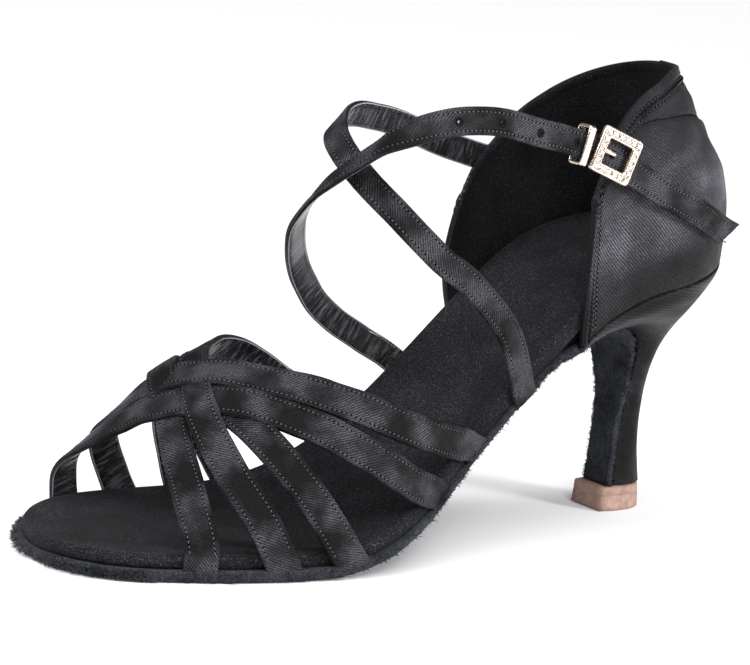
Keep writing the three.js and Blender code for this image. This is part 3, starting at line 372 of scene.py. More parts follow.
def three_curve(points, count):
    """Even points along a centripetal curve through the points"""
    points = [np.array(p, float) for p in points]
    last = len(points) - 1
    made = []
    for i in range(last):
        p1, p2 = points[i], points[i + 1]
        p0 = points[i - 1] if i > 0 else 2 * points[0] - points[1]
        p3 = points[i + 2] if i + 2 <= last else 2 * points[last] - points[last - 1]
        d0, d1, d2 = (max(np.linalg.norm(b - a), 1e-4) ** .5 for a, b in ((p0, p1), (p1, p2), (p2, p3)))
        t1 = ((p1 - p0) / d0 - (p2 - p0) / (d0 + d1) + (p2 - p1) / d1) * d1
        t2 = ((p2 - p1) / d1 - (p3 - p1) / (d1 + d2) + (p3 - p2) / d2) * d1
        for t in np.linspace(0, 1, 40, endpoint=(i == last - 1)):
            made.append(p1 + t1 * t + (-3 * p1 + 3 * p2 - 2 * t1 - t2) * t * t
                        + (2 * p1 - 2 * p2 + t1 + t2) * t ** 3)
    made = np.array(made)
    run = np.concatenate([[0], np.cumsum(np.linalg.norm(np.diff(made, axis=0), axis=1))])
    at = np.linspace(0, run[-1], count)
    return np.stack([np.interp(at, run, made[:, k]) for k in range(3)], axis=1), run[-1]


# Materials

class Look:
    """A material, with short ways to add its nodes"""

    def __init__(self, name, roughness, **fixed):
        self.material = bpy.data.materials.new(name)
        self.material.use_nodes = True
        self.tree = self.material.node_tree
        self.shader = self.tree.nodes["Principled BSDF"]
        self.shader.inputs["Roughness"].default_value = roughness
        for key, value in fixed.items():
            self.shader.inputs[key.replace("_", " ")].default_value = value

    def node(self, kind, **settings):
        made = self.tree.nodes.new(kind)
        for key, value in settings.items():
            socket = key.replace("_", " ")
            if socket in made.inputs:
                made.inputs[socket].default_value = value
            else:
                setattr(made, key, value)
        return made

    def coordinates(self, source, scale=(1, 1, 1), turn=0.0):
        """The mesh's own map in millimetres (UV), or its place in metres (Object)"""
        mapping = self.node("ShaderNodeMapping", Scale=scale, Rotation=(0, 0, turn))
        places = self.node("ShaderNodeTexCoord")
        self.tree.links.new(places.outputs[source], mapping.inputs["Vector"])
        return mapping.outputs["Vector"]

    def texture(self, kind, vector, **settings):
        made = self.node("ShaderNodeTex" + kind, **settings)
        self.tree.links.new(vector, made.inputs["Vector"])
        return made.outputs["Distance" if kind == "Voronoi" else "Fac"]

    def ramp(self, factor, stops):
        """Colours at places along a factor; a plain number is a neutral grey"""
        made = self.node("ShaderNodeValToRGB")
        elements = made.color_ramp.elements
        while len(elements) < len(stops):
            elements.new(.5)
        for element, (position, colour) in zip(elements, stops):
            element.position = position
            element.color = (*(colour if isinstance(colour, tuple) else (colour,) * 3), 1)
        self.tree.links.new(factor, made.inputs["Fac"])
        return made.outputs["Color"]

    def multiply(self, first, second):
        both = self.node("ShaderNodeMix", data_type="RGBA", blend_type="MULTIPLY")
        both.inputs[0].default_value = 1
        self.tree.links.new(first, both.inputs[6])
        self.tree.links.new(second, both.inputs[7])
        return both.outputs[2]

    def product(self, first, second):
        both = self.node("ShaderNodeMath", operation="MULTIPLY")
        self.tree.links.new(first, both.inputs[0])
        self.tree.links.new(second, both.inputs[1])
        return both.outputs[0]

    def bumps(self, *layers):
        """Bumps laid one on the other: (height, distance in millimetres, strength)"""
        before = None
        for height, distance, strength in layers:
            made = self.node("ShaderNodeBump", Distance=distance * MM, Strength=strength)
            self.tree.links.new(height, made.inputs["Height"])
            if before is not None:
                self.tree.links.new(before, made.inputs["Normal"])
            before = made.outputs["Normal"]
        self.wear("Normal", before)

    def wear(self, key, socket):
        self.tree.links.new(socket, self.shader.inputs[key])


def grey(value):
    """The faintly blue grey of every black cloth and thread"""
    return (value * .98, value * .96, value * 1.14)


def satin(name, dark, light, turn, seed, fineness, painted_sheen_and_shade=((0, 1), (1, 1))):
    """Satin: a fine diagonal twill, soft stripes of painted sheen, and painted sheen and shade that change up the
    map
    """
    look = Look(name, .45, Sheen_Weight=.01, Sheen_Roughness=.3, Specular_IOR_Level=.12, Anisotropic=.6)
    flat = look.coordinates("UV", turn=turn)
    twill = look.texture("Wave", flat, Scale=fineness, Distortion=3.4, Detail=3, Detail_Scale=2.5)
    threads = look.texture("Noise", flat, Scale=1.9, Detail=4, Roughness=.75)
    painted_sheen_streaks = look.texture("Noise", look.coordinates("UV", (.8, 1, 1), seed), Scale=.1, Detail=3, Roughness=.5)
    parts = look.node("ShaderNodeSeparateXYZ")
    look.tree.links.new(look.coordinates("UV", (1 / BAND_REACH, 1 / BAND_REACH, 1)), parts.inputs[0])
    # Painted sheen: the base colour runs from dark to light along soft noise stripes, standing in for the satin's
    # sheen
    shade = look.ramp(painted_sheen_streaks, [(.4, grey(dark)), (.5, grey(mix(dark, light, .3))), (.62, grey(light))])
    shade = look.multiply(shade, look.ramp(twill, [(.2, .35), (.8, 1.65)]))
    shade = look.multiply(shade, look.ramp(threads, [(.34, .3), (.66, 1.7)]))
    # Painted sheen and shade: the colour is scaled up and down the map
    look.wear("Base Color", look.multiply(shade, look.ramp(parts.outputs["Y"], painted_sheen_and_shade)))
    look.wear("Roughness", look.ramp(painted_sheen_streaks, [(.38, .5), (.62, .3)]))
    look.bumps((twill, .14, .8), (threads, .14, .8), (painted_sheen_streaks, .7, .6))
    return look.material


def lining():
    """Glossy lining with crosswise creases, painted lighter on their raised parts as painted highlights"""
    look = Look("strap_lining", .26, Coat_Weight=.45, Coat_Roughness=.12, Specular_IOR_Level=.3)
    wrinkles_and_painted_highlights = look.texture("Noise", look.coordinates("UV", (1, .16, 1)), Scale=.75, Detail=5, Roughness=.65)
    grain = look.texture("Voronoi", look.coordinates("UV"), Scale=2.2)
    # Painted highlights: the colour turns light where the crease noise is high
    look.wear("Base Color", look.ramp(wrinkles_and_painted_highlights, [(.38, grey(.001)), (.5, grey(.008)), (.62, grey(.085))]))
    look.bumps((wrinkles_and_painted_highlights, 1.3, 1.0), (grain, .05, .4))
    return look.material


def microfibre(name, tone, specks):
    """Matte microfibre: a short grainy nap with pale specks and softly rubbed places"""
    look = Look(name, .95, Sheen_Weight=.02, Sheen_Roughness=.6, Specular_IOR_Level=.08)
    spot = look.coordinates("Object")
    nap = look.texture("Noise", spot, Scale=2300, Detail=3, Roughness=.7)
    clouds = look.texture("Noise", spot, Scale=60, Detail=4)
    grain = look.ramp(nap, [(.35, grey(tone * .45)), (.55, grey(tone * 1.2)), (.7, grey(specks))])
    look.wear("Base Color", look.multiply(grain, look.ramp(clouds, [(.35, .7), (.65, 1.5)])))
    look.bumps((nap, .1, .7))
    return look.material


def suede(name, dark, light):
    """Rough suede, scuffed lighter in patches"""
    look = Look(name, 1.0, Sheen_Weight=.03, Sheen_Roughness=.7, Specular_IOR_Level=.05)
    spot = look.coordinates("Object")
    nap = look.texture("Noise", spot, Scale=1100, Detail=5, Roughness=.75)
    clouds = look.texture("Noise", spot, Scale=150, Detail=5, Roughness=.7)
    middle = tuple((a + b) / 2 for a, b in zip(dark, light))
    look.wear("Base Color", look.ramp(look.product(nap, clouds), [(.14, dark), (.25, middle), (.38, light)]))
    look.bumps((clouds, .5, .6), (nap, .3, .9))
    return look.material


def rubber():
    """Moulded rubber with faint flecks"""
    look = Look("tip_rubber", .6)
    flecks = look.texture("Noise", look.coordinates("Object"), Scale=420, Detail=5, Roughness=.7)
    tones = [(.3, (.2, .115, .088)), (.5, (.3, .185, .145)), (.7, (.38, .25, .2))]
    look.wear("Base Color", look.ramp(flecks, tones))
    look.bumps((flecks, .1, .5))
    return look.material


def gold(name, tone):
    """Pale plated metal with faint polishing marks"""
    look = Look(name, .2, Metallic=1.0)
    marks = look.texture("Noise", look.coordinates("Object", (1, 1, 4)), Scale=700, Detail=3)
    look.wear("Base Color", look.ramp(marks, [(.3, tuple(.8 * c for c in tone)), (.6, tone)]))
    look.wear("Roughness", look.ramp(marks, [(.3, .32), (.7, .16)]))
    look.bumps((marks, .03, .3))
    return look.material


def stone():
    """Clear cut stones over silver foil, with painted glints: bright and dark cells in their colour"""
    look = Look("clear_stone", .04, Metallic=.75, Coat_Weight=1.0, Coat_Roughness=.03)
    painted_sparkle = look.texture("Voronoi", look.coordinates("Object"), Scale=1500)
    # Painted glints: bright and dark cells in the colour stand in for light off the facets
    tones = [(.1, (.95, .95, .96)), (.4, (.6, .6, .62)), (.8, (.2, .2, .22))]
    look.wear("Base Color", look.ramp(painted_sparkle, tones))
    return look.material


def thread(name, value, gloss=.3):
    """Sewing thread; with a low gloss it becomes a dark patch, used as the painted shade of needle holes"""
    look = Look(name, .6, Specular_IOR_Level=gloss)
    twist = look.texture("Noise", look.coordinates("Object"), Scale=2500, Detail=2)
    look.wear("Base Color", look.ramp(twist, [(.3, grey(value * .6)), (.7, grey(value * 1.3))]))
    look.bumps((twist, .05, .5))
    return look.material


# The first two numbers of each satin are its dark tone and the light tone of its painted sheen
STRAP_SATIN = satin("strap_satin", .0015, .036, .8, 1.0, .48)
# The counter's satin is painted lighter across the middle of its wall as sheen, and darker at its foot and top as
# shade
COUNTER_SATIN = satin("counter_satin", .022, .042, -.6, 2.0, .42, COUNTER_PAINTED_SHEEN_AND_SHADE)
HEEL_SATIN = satin("heel_satin", .002, .013, -.7, 3.0, .46)
LINING = lining()
INSOLE_CLOTH = microfibre("insole_microfibre", .008, .06)
COUNTER_LINING = microfibre("counter_lining", .006, .03)
SUEDE = suede("sole_suede", (.004, .0045, .006), (.04, .044, .054))
FIBRES = suede("loose_fibres", (.012, .013, .016), (.1, .108, .125))
RUBBER = rubber()
GOLD = gold("pale_gold", (.82, .69, .57))
ROSE = gold("rose_gold", (.83, .66, .55))
STONE = stone()
# Painted highlight: the black sewing thread is painted a lighter grey than the satin, as if lit on its raised
# bars
THREAD_WITH_PAINTED_HIGHLIGHT = thread("thread_with_painted_highlight", .075)
DARK_THREAD = thread("dark_thread", .004, .1)
CUT_EDGE = thread("cut_edge", .28)
ZIGZAG_THREAD = thread("zigzag_thread", .003, .04)
# Painted shade: near-black bars that stand in for the shade inside the needle holes
HOLE_PAINTED_SHADE = thread("needle_hole_painted_shade", .001, .02)


# Meshes

def add_mesh(name, points, faces, materials, indices=None, uvs=None):
    """A smooth mesh from points in millimetres, riding on the shoe"""
    mesh = bpy.data.meshes.new(name)
    mesh.from_pydata((np.asarray(points) * MM).tolist(), [], faces)
    for material in materials:
        mesh.materials.append(material)
    if indices is not None:
        mesh.polygons.foreach_set("material_index", np.asarray(indices, np.int32))
    mesh.polygons.foreach_set("use_smooth", np.ones(len(mesh.polygons), bool))
    if uvs is not None:
        layer = mesh.uv_layers.new(name="UVMap")
        at = np.zeros(len(mesh.loops), np.int32)
        mesh.loops.foreach_get("vertex_index", at)
        layer.data.foreach_set("uv", np.asarray(uvs, np.float32)[at].ravel())
    mesh.validate()
    mesh.update()
    made = bpy.data.objects.new(name, mesh)
    bpy.context.scene.collection.objects.link(made)
    return made


def outward(made):
    """Turns every face outwards"""
    bpy.context.view_layer.objects.active = made
    made.select_set(True)
    bpy.ops.object.mode_set(mode="EDIT")
    bpy.ops.mesh.select_all(action="SELECT")
    bpy.ops.mesh.normals_make_consistent(inside=False)
    bpy.ops.object.mode_set(mode="OBJECT")
    made.select_set(False)
    return made


def ring_faces(rows, size, closed_ends=True):
    """Faces of a tube of rows rings with size points each, with a fan at each end"""
    faces = []
    for i in range(rows - 1):
        for j in range(size):
            a, b = i * size + j, i * size + (j + 1) % size
            faces.append((a, b, b + size, a + size))
    if closed_ends:
        faces.append(tuple(reversed(range(size))))
        faces.append(tuple((rows - 1) * size + j for j in range(size)))
    return faces


def closed_ring_faces(rows, size):
    """Faces of a ring of rings, the last joined to the first"""
    return [(i * size + j, i * size + (j + 1) % size, (i + 1) % rows * size + (j + 1) % size,
             (i + 1) % rows * size + j) for i in range(rows) for j in range(size)]


def place(made, slot_name, *nodes):
    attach(made, "root")
    if nodes:
        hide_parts(*nodes)
    return made


def stitches(name, runs, material, slot_name, width=STITCH_WIDTH):
    """One mesh of short thread bars; runs are lists of (centre, direction, normal, length)"""
    turns = [2 * math.pi * k / 6 for k in range(6)]
    points, faces = [], []
    for centre, direction, normal, length in runs:
        direction, normal = unit(direction), unit(normal)
        side = np.cross(direction, normal)
        base = len(points)
        for share, size in ((-.5, .35), (-.3, 1), (.3, 1), (.5, .35)):
            arch = .1 * (1 - (2 * share) ** 2)
            for turn in turns:
                points.append(centre + direction * share * length
                              + side * math.cos(turn) * size * width / 2
                              + normal * (math.sin(turn) * size * width * .38 + arch - .06))
        for face in ring_faces(4, 6):
            faces.append(tuple(base + k for k in face))
    return place(outward(add_mesh(name, points, faces, [material])), slot_name)


def row_of_stitches(line, normals, pitch=STITCH_PITCH, length=STITCH_LENGTH, skew=0.0):
    """Bars along a line of points, each lying on the surface"""
    line, normals = np.asarray(line), np.asarray(normals)
    run = np.concatenate([[0], np.cumsum(np.linalg.norm(np.diff(line, axis=0), axis=1))])
    found = []
    at = pitch
    k = 0
    while at < run[-1] - pitch * .6:
        centre = np.array([np.interp(at, run, line[:, c]) for c in range(3)])
        ahead = np.array([np.interp(at + .3, run, line[:, c]) for c in range(3)])
        normal = unit(np.array([np.interp(at, run, normals[:, c]) for c in range(3)]))
        direction = unit(ahead - centre)
        if skew:
            direction = direction + np.cross(direction, normal) * skew * (1 if k % 2 else -1)
        found.append((centre, direction, normal, length))
        at += pitch
        k += 1
    return found


def needle_hole_painted_shade(bars, length):
    """Painted shade of a needle hole: a dark bar halfway between each bar and the next"""
    return [(spot + way * STITCH_PITCH / 2, way, out, length) for spot, way, out, _ in bars]


# Straps

def strap_section(width):
    """The strap's section: (across, out, kind), kind 0 satin, 1 lining, 2 cut edge"""
    w, h = width / 2, STRAP_THICKNESS / 2
    section = [(a, -h, 1) for a in np.linspace(.35 - w, w - .35, 9)]
    section += [(w - .08, -h + .16, 2), (w, -h + .42, 0)]
    corner = [(.42 * (1 - math.cos(turn)), .42 * (1 - math.sin(turn))) for turn in (0, math.pi / 4, math.pi / 2)]
    section += [(w - a, h - b, 0) for a, b in corner]
    section += [(a, h, 0) for a in np.linspace(w - .7, .7 - w, 17)]
    section += [(a - w, h - b, 0) for a, b in reversed(corner)]
    section += [(-w, -h + .42, 0), (.08 - w, -h + .16, 2)]
    return section


def depth_in_sole(p):
    """Depth of a point below the insole's top, square to its profile"""
    slope = math.hypot(1, sole_top(p[0] + .5) - sole_top(p[0] - .5))
    return (sole_top(p[0]) - p[2]) / slope


def sink_end(points, rings, way, beside):
    """Runs a strap's end rings down along a way, every column to the same depth in the outsole"""
    for j in range(points.shape[1]):
        base = points[rings[0], j].copy()
        side = math.copysign(1, base[1])

        def at(reach):
            p = base + way * reach
            if beside:
                p[1] += edge(p[0], side) - edge(base[0], side)
            return p

        low, high = -4.0, 25.0
        for _ in range(24):
            middle = (low + high) / 2
            p = at(middle)
            if depth_in_sole(p) < board_at(p[0]) + FIT_GAP + SINK:
                low = middle
            else:
                high = middle
        for k, index in enumerate(rings):
            points[index, j] = at(low * k / (len(rings) - 1))


def dress_strap(centre, along, across, normal, width, folds, seed, slant_end=0.0):
    """Points, faces, kinds and maps of a strap with its seams and folds"""
    count = len(centre)
    run = np.concatenate([[0], np.cumsum(np.linalg.norm(np.diff(centre, axis=0), axis=1))])
    section = strap_section(width)
    size = len(section)
    w = width / 2
    points = np.zeros((count, size, 3))
    uvs = np.zeros((count, size, 2))
    ripple = waves(run, seed, 3.1) * .5 + waves(run, seed + 4, 1.7) * .5
    sway = waves(run, seed + 9, 26) * .16
    fade = np.clip((run if slant_end else np.minimum(run, run[-1] - run)) / 4, 0, 1)
    slope = np.clip((np.arange(count) - count + 6) / 5, 0, 1) * slant_end
    for j, (a, b, kind) in enumerate(section):
        lift = np.zeros(count)
        inner = max(0.0, 1 - (abs(a) / (w - .3)) ** 4)
        if b > 0:
            lift += .16 * (1 - (a / w) ** 2)
            for row in (w - STITCH_INSET, STITCH_INSET - w):
                lift -= .17 * math.exp(-((a - row) / .33) ** 2)
            lift += .05 * inner * waves(run + 1.5 * a, seed + 2, 5)
        elif kind == 1:
            lift += .14 * ripple * inner - .08 * inner
        for share, at, reach, spread_across, height in folds:
            lift += (height * inner * np.exp(-((run - share * run[-1]) / reach) ** 2)
                     * math.exp(-((a - at) / spread_across) ** 2))
        points[:, j] = (centre + across * (a + sway)[:, None] + normal * (b + lift * fade)[:, None]
                        + along * (slope * a / w)[:, None])
        uvs[:, j, 0] = run
        uvs[:, j, 1] = a if b > 0 else a + 3 * width
    faces = ring_faces(count, size)
    kinds = []
    for _ in range(count - 1):
        for j in range(size):
            pair = {section[j][2], section[(j + 1) % size][2]}
            kinds.append(2 if 2 in pair and 1 in pair else (1 if pair == {1} else 0))
    kinds += [0, 0]
    return points, uvs, faces, kinds, run


def smooth_frames(centre, across_hint):
    """Along, across and normal at each point of a line"""
    along = np.gradient(centre, axis=0)
    along /= np.linalg.norm(along, axis=1)[:, None]
    across = across_hint - along * np.sum(across_hint * along, axis=1)[:, None]
    across /= np.linalg.norm(across, axis=1)[:, None]
    return along, across


upper_bars, upper_hole_painted_shades, lining_bars = [], [], []


def sew_strap(centre, across, normal, width):
    """Adds a strap's two rows of stitches, on its outer face and on its lining"""
    w = width / 2
    for face, bars in ((1, upper_bars), (-1, lining_bars)):
        for side in (-1, 1):
            a = side * (w - STITCH_INSET)
            height = STRAP_THICKNESS / 2 + (.16 * (1 - (a / w) ** 2) - .14 if face > 0 else 0)
            row = row_of_stitches(centre + across * a + normal * (face * height), normal * face)
            bars += row
            if face > 0:
                # Painted shade of the needle holes beside the outer stitches
                upper_hole_painted_shades.extend(needle_hole_painted_shade(row, .45))


def last_surface(x, turn):
    """The last's surface over the forefoot: turn 0 is the outer edge, 1 the inner edge"""
    clear = FIT_GAP + STRAP_THICKNESS / 2
    outer, inner = edge(x, 1) + clear, edge(x, -1) - clear
    c, s = math.cos(math.pi * turn), math.sin(math.pi * turn)
    reach = (outer - inner) / 2 * math.copysign(abs(c) ** .9, c)
    return np.array([x, (outer + inner) / 2 + reach - RIDGE_SHIFT * s * s,
                     sole_top(x) + VAMP_HEIGHT * last_ridge(along_of(x)) * abs(s) ** 1.1])


def even_curve(values):
    def value(t):
        t = min(max(t, 0), 1) * (len(values) - 1)
        i = min(int(t), len(values) - 2)
        t -= i
        x1, x2 = values[i], values[i + 1]
        x0 = values[i - 1] if i > 0 else 2 * values[0] - values[1]
        x3 = values[i + 2] if i + 2 < len(values) else 2 * values[-1] - values[-2]
        t1, t2 = .5 * (x2 - x0), .5 * (x3 - x1)
        return x1 + t1 * t + (-3 * x1 + 3 * x2 - 2 * t1 - t2) * t * t + (2 * x1 - 2 * x2 + t1 + t2) * t ** 3
    return value


def vamp_line(row, layers):
    """The centre line and frames of one woven strap, its ends running down beside the insole"""
    at = even_curve([place_of(v) for v in row])
    lift, bed = (column(table("turn layer", rows), "turn", "layer") for rows in (layers, WEAVE_BED))
    centre, across_all, normal_all, along_all = [], [], [], []
    step = .004
    for i in range(STRAP_STEPS + 1):
        turn = i / STRAP_STEPS
        x = at(turn)
        before, after = max(turn - step, 0), min(turn + step, 1)
        along = unit(last_surface(at(after), after) - last_surface(at(before), before))
        inside = min(max(turn, .03), .97)
        lengthwise = last_surface(x + .5, inside) - last_surface(x - .5, inside)
        around = last_surface(x, inside + step) - last_surface(x, inside - step)
        across = unit(np.cross(along, unit(np.cross(lengthwise, around))))
        normal = unit(np.cross(along, across))
        centre.append(last_surface(x, turn) + normal * (lift(turn) - bed(turn)) * WEAVE_PITCH)
        along_all.append(along)
        across_all.append(across)
        normal_all.append(normal)
    copies = [0] * END_RINGS + list(range(STRAP_STEPS + 1)) + [STRAP_STEPS] * END_RINGS
    return tuple(np.array(v)[copies] for v in (centre, along_all, across_all, normal_all))


def make_vamp():
    points, uvs, faces, kinds = [], [], [], []
    for number, (row, layers) in enumerate(zip(VAMP, WEAVE)):
        centre, along, across, normal = vamp_line(row, layers)
        folds = STRAP_FOLDS[f"vamp_{number + 1}"]
        made = dress_strap(centre, along, across, normal, VAMP_WIDTH, folds, number)
        for end, step in ((END_RINGS, -1), (END_RINGS + STRAP_STEPS, 1)):
            down = along[end] * step
            way = unit(np.array([down[0], 0, min(down[2], -.5)]))
            sink_end(made[0], [end + step * k for k in range(END_RINGS + 1)], way, True)
            for k in range(1, END_RINGS + 1):
                gone = np.linalg.norm(made[0][end + step * k] - made[0][end], axis=1)
                made[1][end + step * k, :, 0] += step * gone
        base = sum(len(p) for p in points)
        points.append(made[0].reshape(-1, 3))
        uvs.append(made[1].reshape(-1, 2) + np.array([37.0 * number, 0]))
        faces += [tuple(base + k for k in face) for face in made[2]]
        kinds += made[3]
        free = slice(END_RINGS, END_RINGS + STRAP_STEPS + 1)
        sew_strap(centre[free], across[free], normal[free], VAMP_WIDTH)
    made = add_mesh("vamp_satin_straps", np.concatenate(points), faces, [STRAP_SATIN, LINING, CUT_EDGE],
                    kinds, np.concatenate(uvs))
    place(outward(made), "strap_satin", "vamp_straps")


def cross_line(rows, outward_sign):
    """A cross strap's centre line and frames, from within the outsole to its other end"""
    points = [(place_of(f), a * BALL_WIDTH, SEAT_HEIGHT + up * CROSS_RISE) for f, a, up in rows]
    line, length = three_curve(points, 700)
    run = np.linspace(0, length, 700)
    start = next(k for k, p in enumerate(line) if depth_in_sole(p) < board_at(p[0]) + FIT_GAP + SINK)
    at = np.linspace(run[start], length - (TAIL_CUT if outward_sign > 0 else 0), STRAP_STEPS + 1)
    centre = np.stack([np.interp(at, run, line[:, k]) for k in range(3)], axis=1)
    along, across = smooth_frames(centre, np.tile(LEG_LINE, (len(centre), 1)))
    return centre, along, across, np.cross(along, across) * outward_sign, at


def make_cross_strap(name, rows, sign, node_name, slant=0.0):
    centre, along, across, normal, at = cross_line(rows, sign)
    made = dress_strap(centre, along, across, normal, CROSS_WIDTH, STRAP_FOLDS[name], 20 + len(name), slant)
    free = next(i for i, ring in enumerate(made[0]) if max(depth_in_sole(p) for p in ring) < 0)
    sink_end(made[0], list(range(free, -1, -1)), -along[free], False)
    sew_strap(centre[free:], across[free:], normal[free:], CROSS_WIDTH)
    strap = add_mesh(name + "_satin", made[0].reshape(-1, 3), made[2], [STRAP_SATIN, LINING, CUT_EDGE],
                     made[3], made[1].reshape(-1, 2) + np.array([250.0 if sign > 0 else 400.0, 0]))
    place(outward(strap), "strap_satin", node_name)
    return strap, centre, along, across, normal, at


make_vamp()
make_cross_strap("to_counter", STRAP_TO_COUNTER, -1, "cross_strap_to_counter")
buckle_strap, b_centre, b_along, b_across, b_normal, b_at = make_cross_strap(
    "to_buckle", STRAP_TO_BUCKLE, 1, "cross_strap_to_buckle", TAIL_SLANT)


def strap_frame(distance):
    """Centre, along, across and outward normal of the buckle strap, from the buckle's middle"""
    half = len(b_centre) // 2
    at = np.interp(-BUCKLE_FORWARD, -b_centre[half:, 0], b_at[half:]) + distance

    def pick(values):
        return np.array([np.interp(at, b_at, values[:, k]) for k in range(3)])

    return pick(b_centre), unit(pick(b_along)), unit(pick(b_across)), unit(pick(b_normal))


def within(where, along, across, out):
    return where[0] + where[1] * along + where[2] * across + where[3] * out


def tube(points, diameter, sides=14, flat=1.0):
    """Rings of a round rod along points"""
    points = [np.asarray(p, float) for p in points]
    rings = []
    side = None
    for i, p in enumerate(points):
        way = unit(points[min(i + 1, len(points) - 1)] - points[max(i - 1, 0)])
        if side is None:
            side = unit(np.cross(way, np.array([.3, .2, .9])))
        side = unit(side - way * np.dot(side, way))
        up = np.cross(way, side)
        rings.append([p + side * math.cos(t) * diameter / 2 + up * math.sin(t) * diameter / 2 * flat
                      for t in (2 * math.pi * k / sides for k in range(sides))])
    return np.array(rings)


def add_rings(name, rings, materials, slot_name, *nodes):
    rows, size = rings.shape[:2]
    made = add_mesh(name, rings.reshape(-1, 3), ring_faces(rows, size), materials)
    return place(outward(made), slot_name, *nodes)


def punch(strap):
    """Real holes through the strap, each with a raised, puckered thread rim"""
    rims, cutters = [], []
    for i in range(HOLE_COUNT):
        where = strap_frame(-i * HOLE_PITCH)
        rings = tube([within(where, 0, 0, out) for out in (-3, 0, 3)], HOLE_DIAMETER * .5, 20)
        cutters.append(rings.reshape(-1, 3))
        for k in range(16):
            turn = 2 * math.pi * k / 16
            way = where[1] * math.cos(turn) + where[2] * math.sin(turn)
            height = STRAP_THICKNESS / 2 + .2 + .05 * math.sin(5 * turn + i)
            rims.append((where[0] + way * HOLE_DIAMETER * .4 + where[3] * height, way, where[3], .85))
    faces, points = [], []
    for rings in cutters:
        faces += [tuple(len(points) + k for k in face) for face in ring_faces(3, 20)]
        points += list(rings)
    cutter = outward(add_mesh("hole_cutter", points, faces, [LINING]))
    modifier = strap.modifiers.new("holes", "BOOLEAN")
    modifier.operation = "DIFFERENCE"
    modifier.solver = "EXACT"
    modifier.object = cutter
    bpy.context.view_layer.objects.active = strap
    bpy.ops.object.modifier_apply(modifier=modifier.name)
    bpy.data.objects.remove(cutter)
    stitches("hole_threads", rims, DARK_THREAD, "strap_satin", .36)


punch(buckle_strap)


# Buckle

def rounded_rectangle(length, width, corner, steps=6):
    points = []
    for a, b, quarter in ((1, 1, 0), (-1, 1, 1), (-1, -1, 2), (1, -1, 3)):
        for i in range(steps + 1):
            turn = math.pi / 2 * (quarter + i / steps)
            points.append((a * (length / 2 - corner) + corner * math.cos(turn),
                           b * (width / 2 - corner) + corner * math.sin(turn)))
    return points


def make_buckle_frame():
    """The frame: a rounded outer rim, a sunk channel for the stones and a bevelled opening"""
    where = strap_frame(0)
    low = STRAP_THICKNESS / 2 + BUCKLE_LIFT
    high = low + BUCKLE_THICKNESS
    border = BUCKLE_BORDER
    sections = [
        (0, low + .5, 1.1), (0, high - .45, 1.1), (.18, high - .12, 1.1), (.5, high, 1.0),
        (.72, high - .1, .9), (.86, high - .34, .9), (border - .8, high - .34, .7),
        (border - .62, high - .1, .6), (border - .42, high, .6), (border - .12, high - .14, .55),
        (border, high - .5, .5), (border, low + .3, .5), (border - .3, low, .6), (.4, low, 1.0),
    ]
    rings = np.array([[within(where, a, b, out) for a, b in rounded_rectangle(
        BUCKLE_LENGTH - 2 * inset, BUCKLE_WIDTH - 2 * inset, corner)] for inset, out, corner in sections])
    faces = closed_ring_faces(*rings.shape[:2])
    made = outward(add_mesh("buckle_plate", rings.reshape(-1, 3), faces, [GOLD]))
    place(made, "pale_gold", "buckle_frame")
    make_stones(where, high - .34)


def make_stones(where, seat):
    """Round cut stones in the channel, each in four small claws"""
    long_side, short_side = BUCKLE_LENGTH - BUCKLE_BORDER, BUCKLE_WIDTH - BUCKLE_BORDER
    spots = [(long_side * (i / 5 - .5), s * short_side / 2) for i in range(6) for s in (-1, 1)]
    spots += [(s * long_side / 2, short_side * (i / 5 - .5)) for i in range(1, 5) for s in (-1, 1)]
    points, faces, claws, claw_faces = [], [], [], []
    for number, (a, b) in enumerate(spots):
        base = len(points)
        radius = .88
        for size, out, turn in ((.8, -.1, 0), (1, .12, 0), (.97, .2, .5), (.55, .5, 0)):
            for k in range(8):
                angle = 2 * math.pi * (k + turn) / 8 + .3 * number
                points.append(within(where, a + radius * size * math.cos(angle),
                                     b + radius * size * math.sin(angle), seat + out))
        faces += [tuple(base + k for k in face) for face in ring_faces(4, 8)]
        for k in range(4):
            angle = math.pi / 4 + math.pi / 2 * k
            start = len(claws)
            for size, out in ((.24, -.1), (.26, .25), (.14, .48)):
                for m in range(6):
                    turn = 2 * math.pi * m / 6
                    ahead = a + (radius + .02) * math.cos(angle) + size * math.cos(turn)
                    beside = b + (radius + .02) * math.sin(angle) + size * math.sin(turn)
                    claws.append(within(where, ahead, beside, seat + out))
            claw_faces += [tuple(start + m for m in face) for face in ring_faces(3, 6)]
    gems = outward(add_mesh("buckle_stones", points, faces, [STONE]))
    gems.data.polygons.foreach_set("use_smooth", np.zeros(len(gems.data.polygons), bool))
    place(gems, "pale_gold")
    place(outward(add_mesh("stone_claws", claws, claw_faces, [GOLD])), "pale_gold")


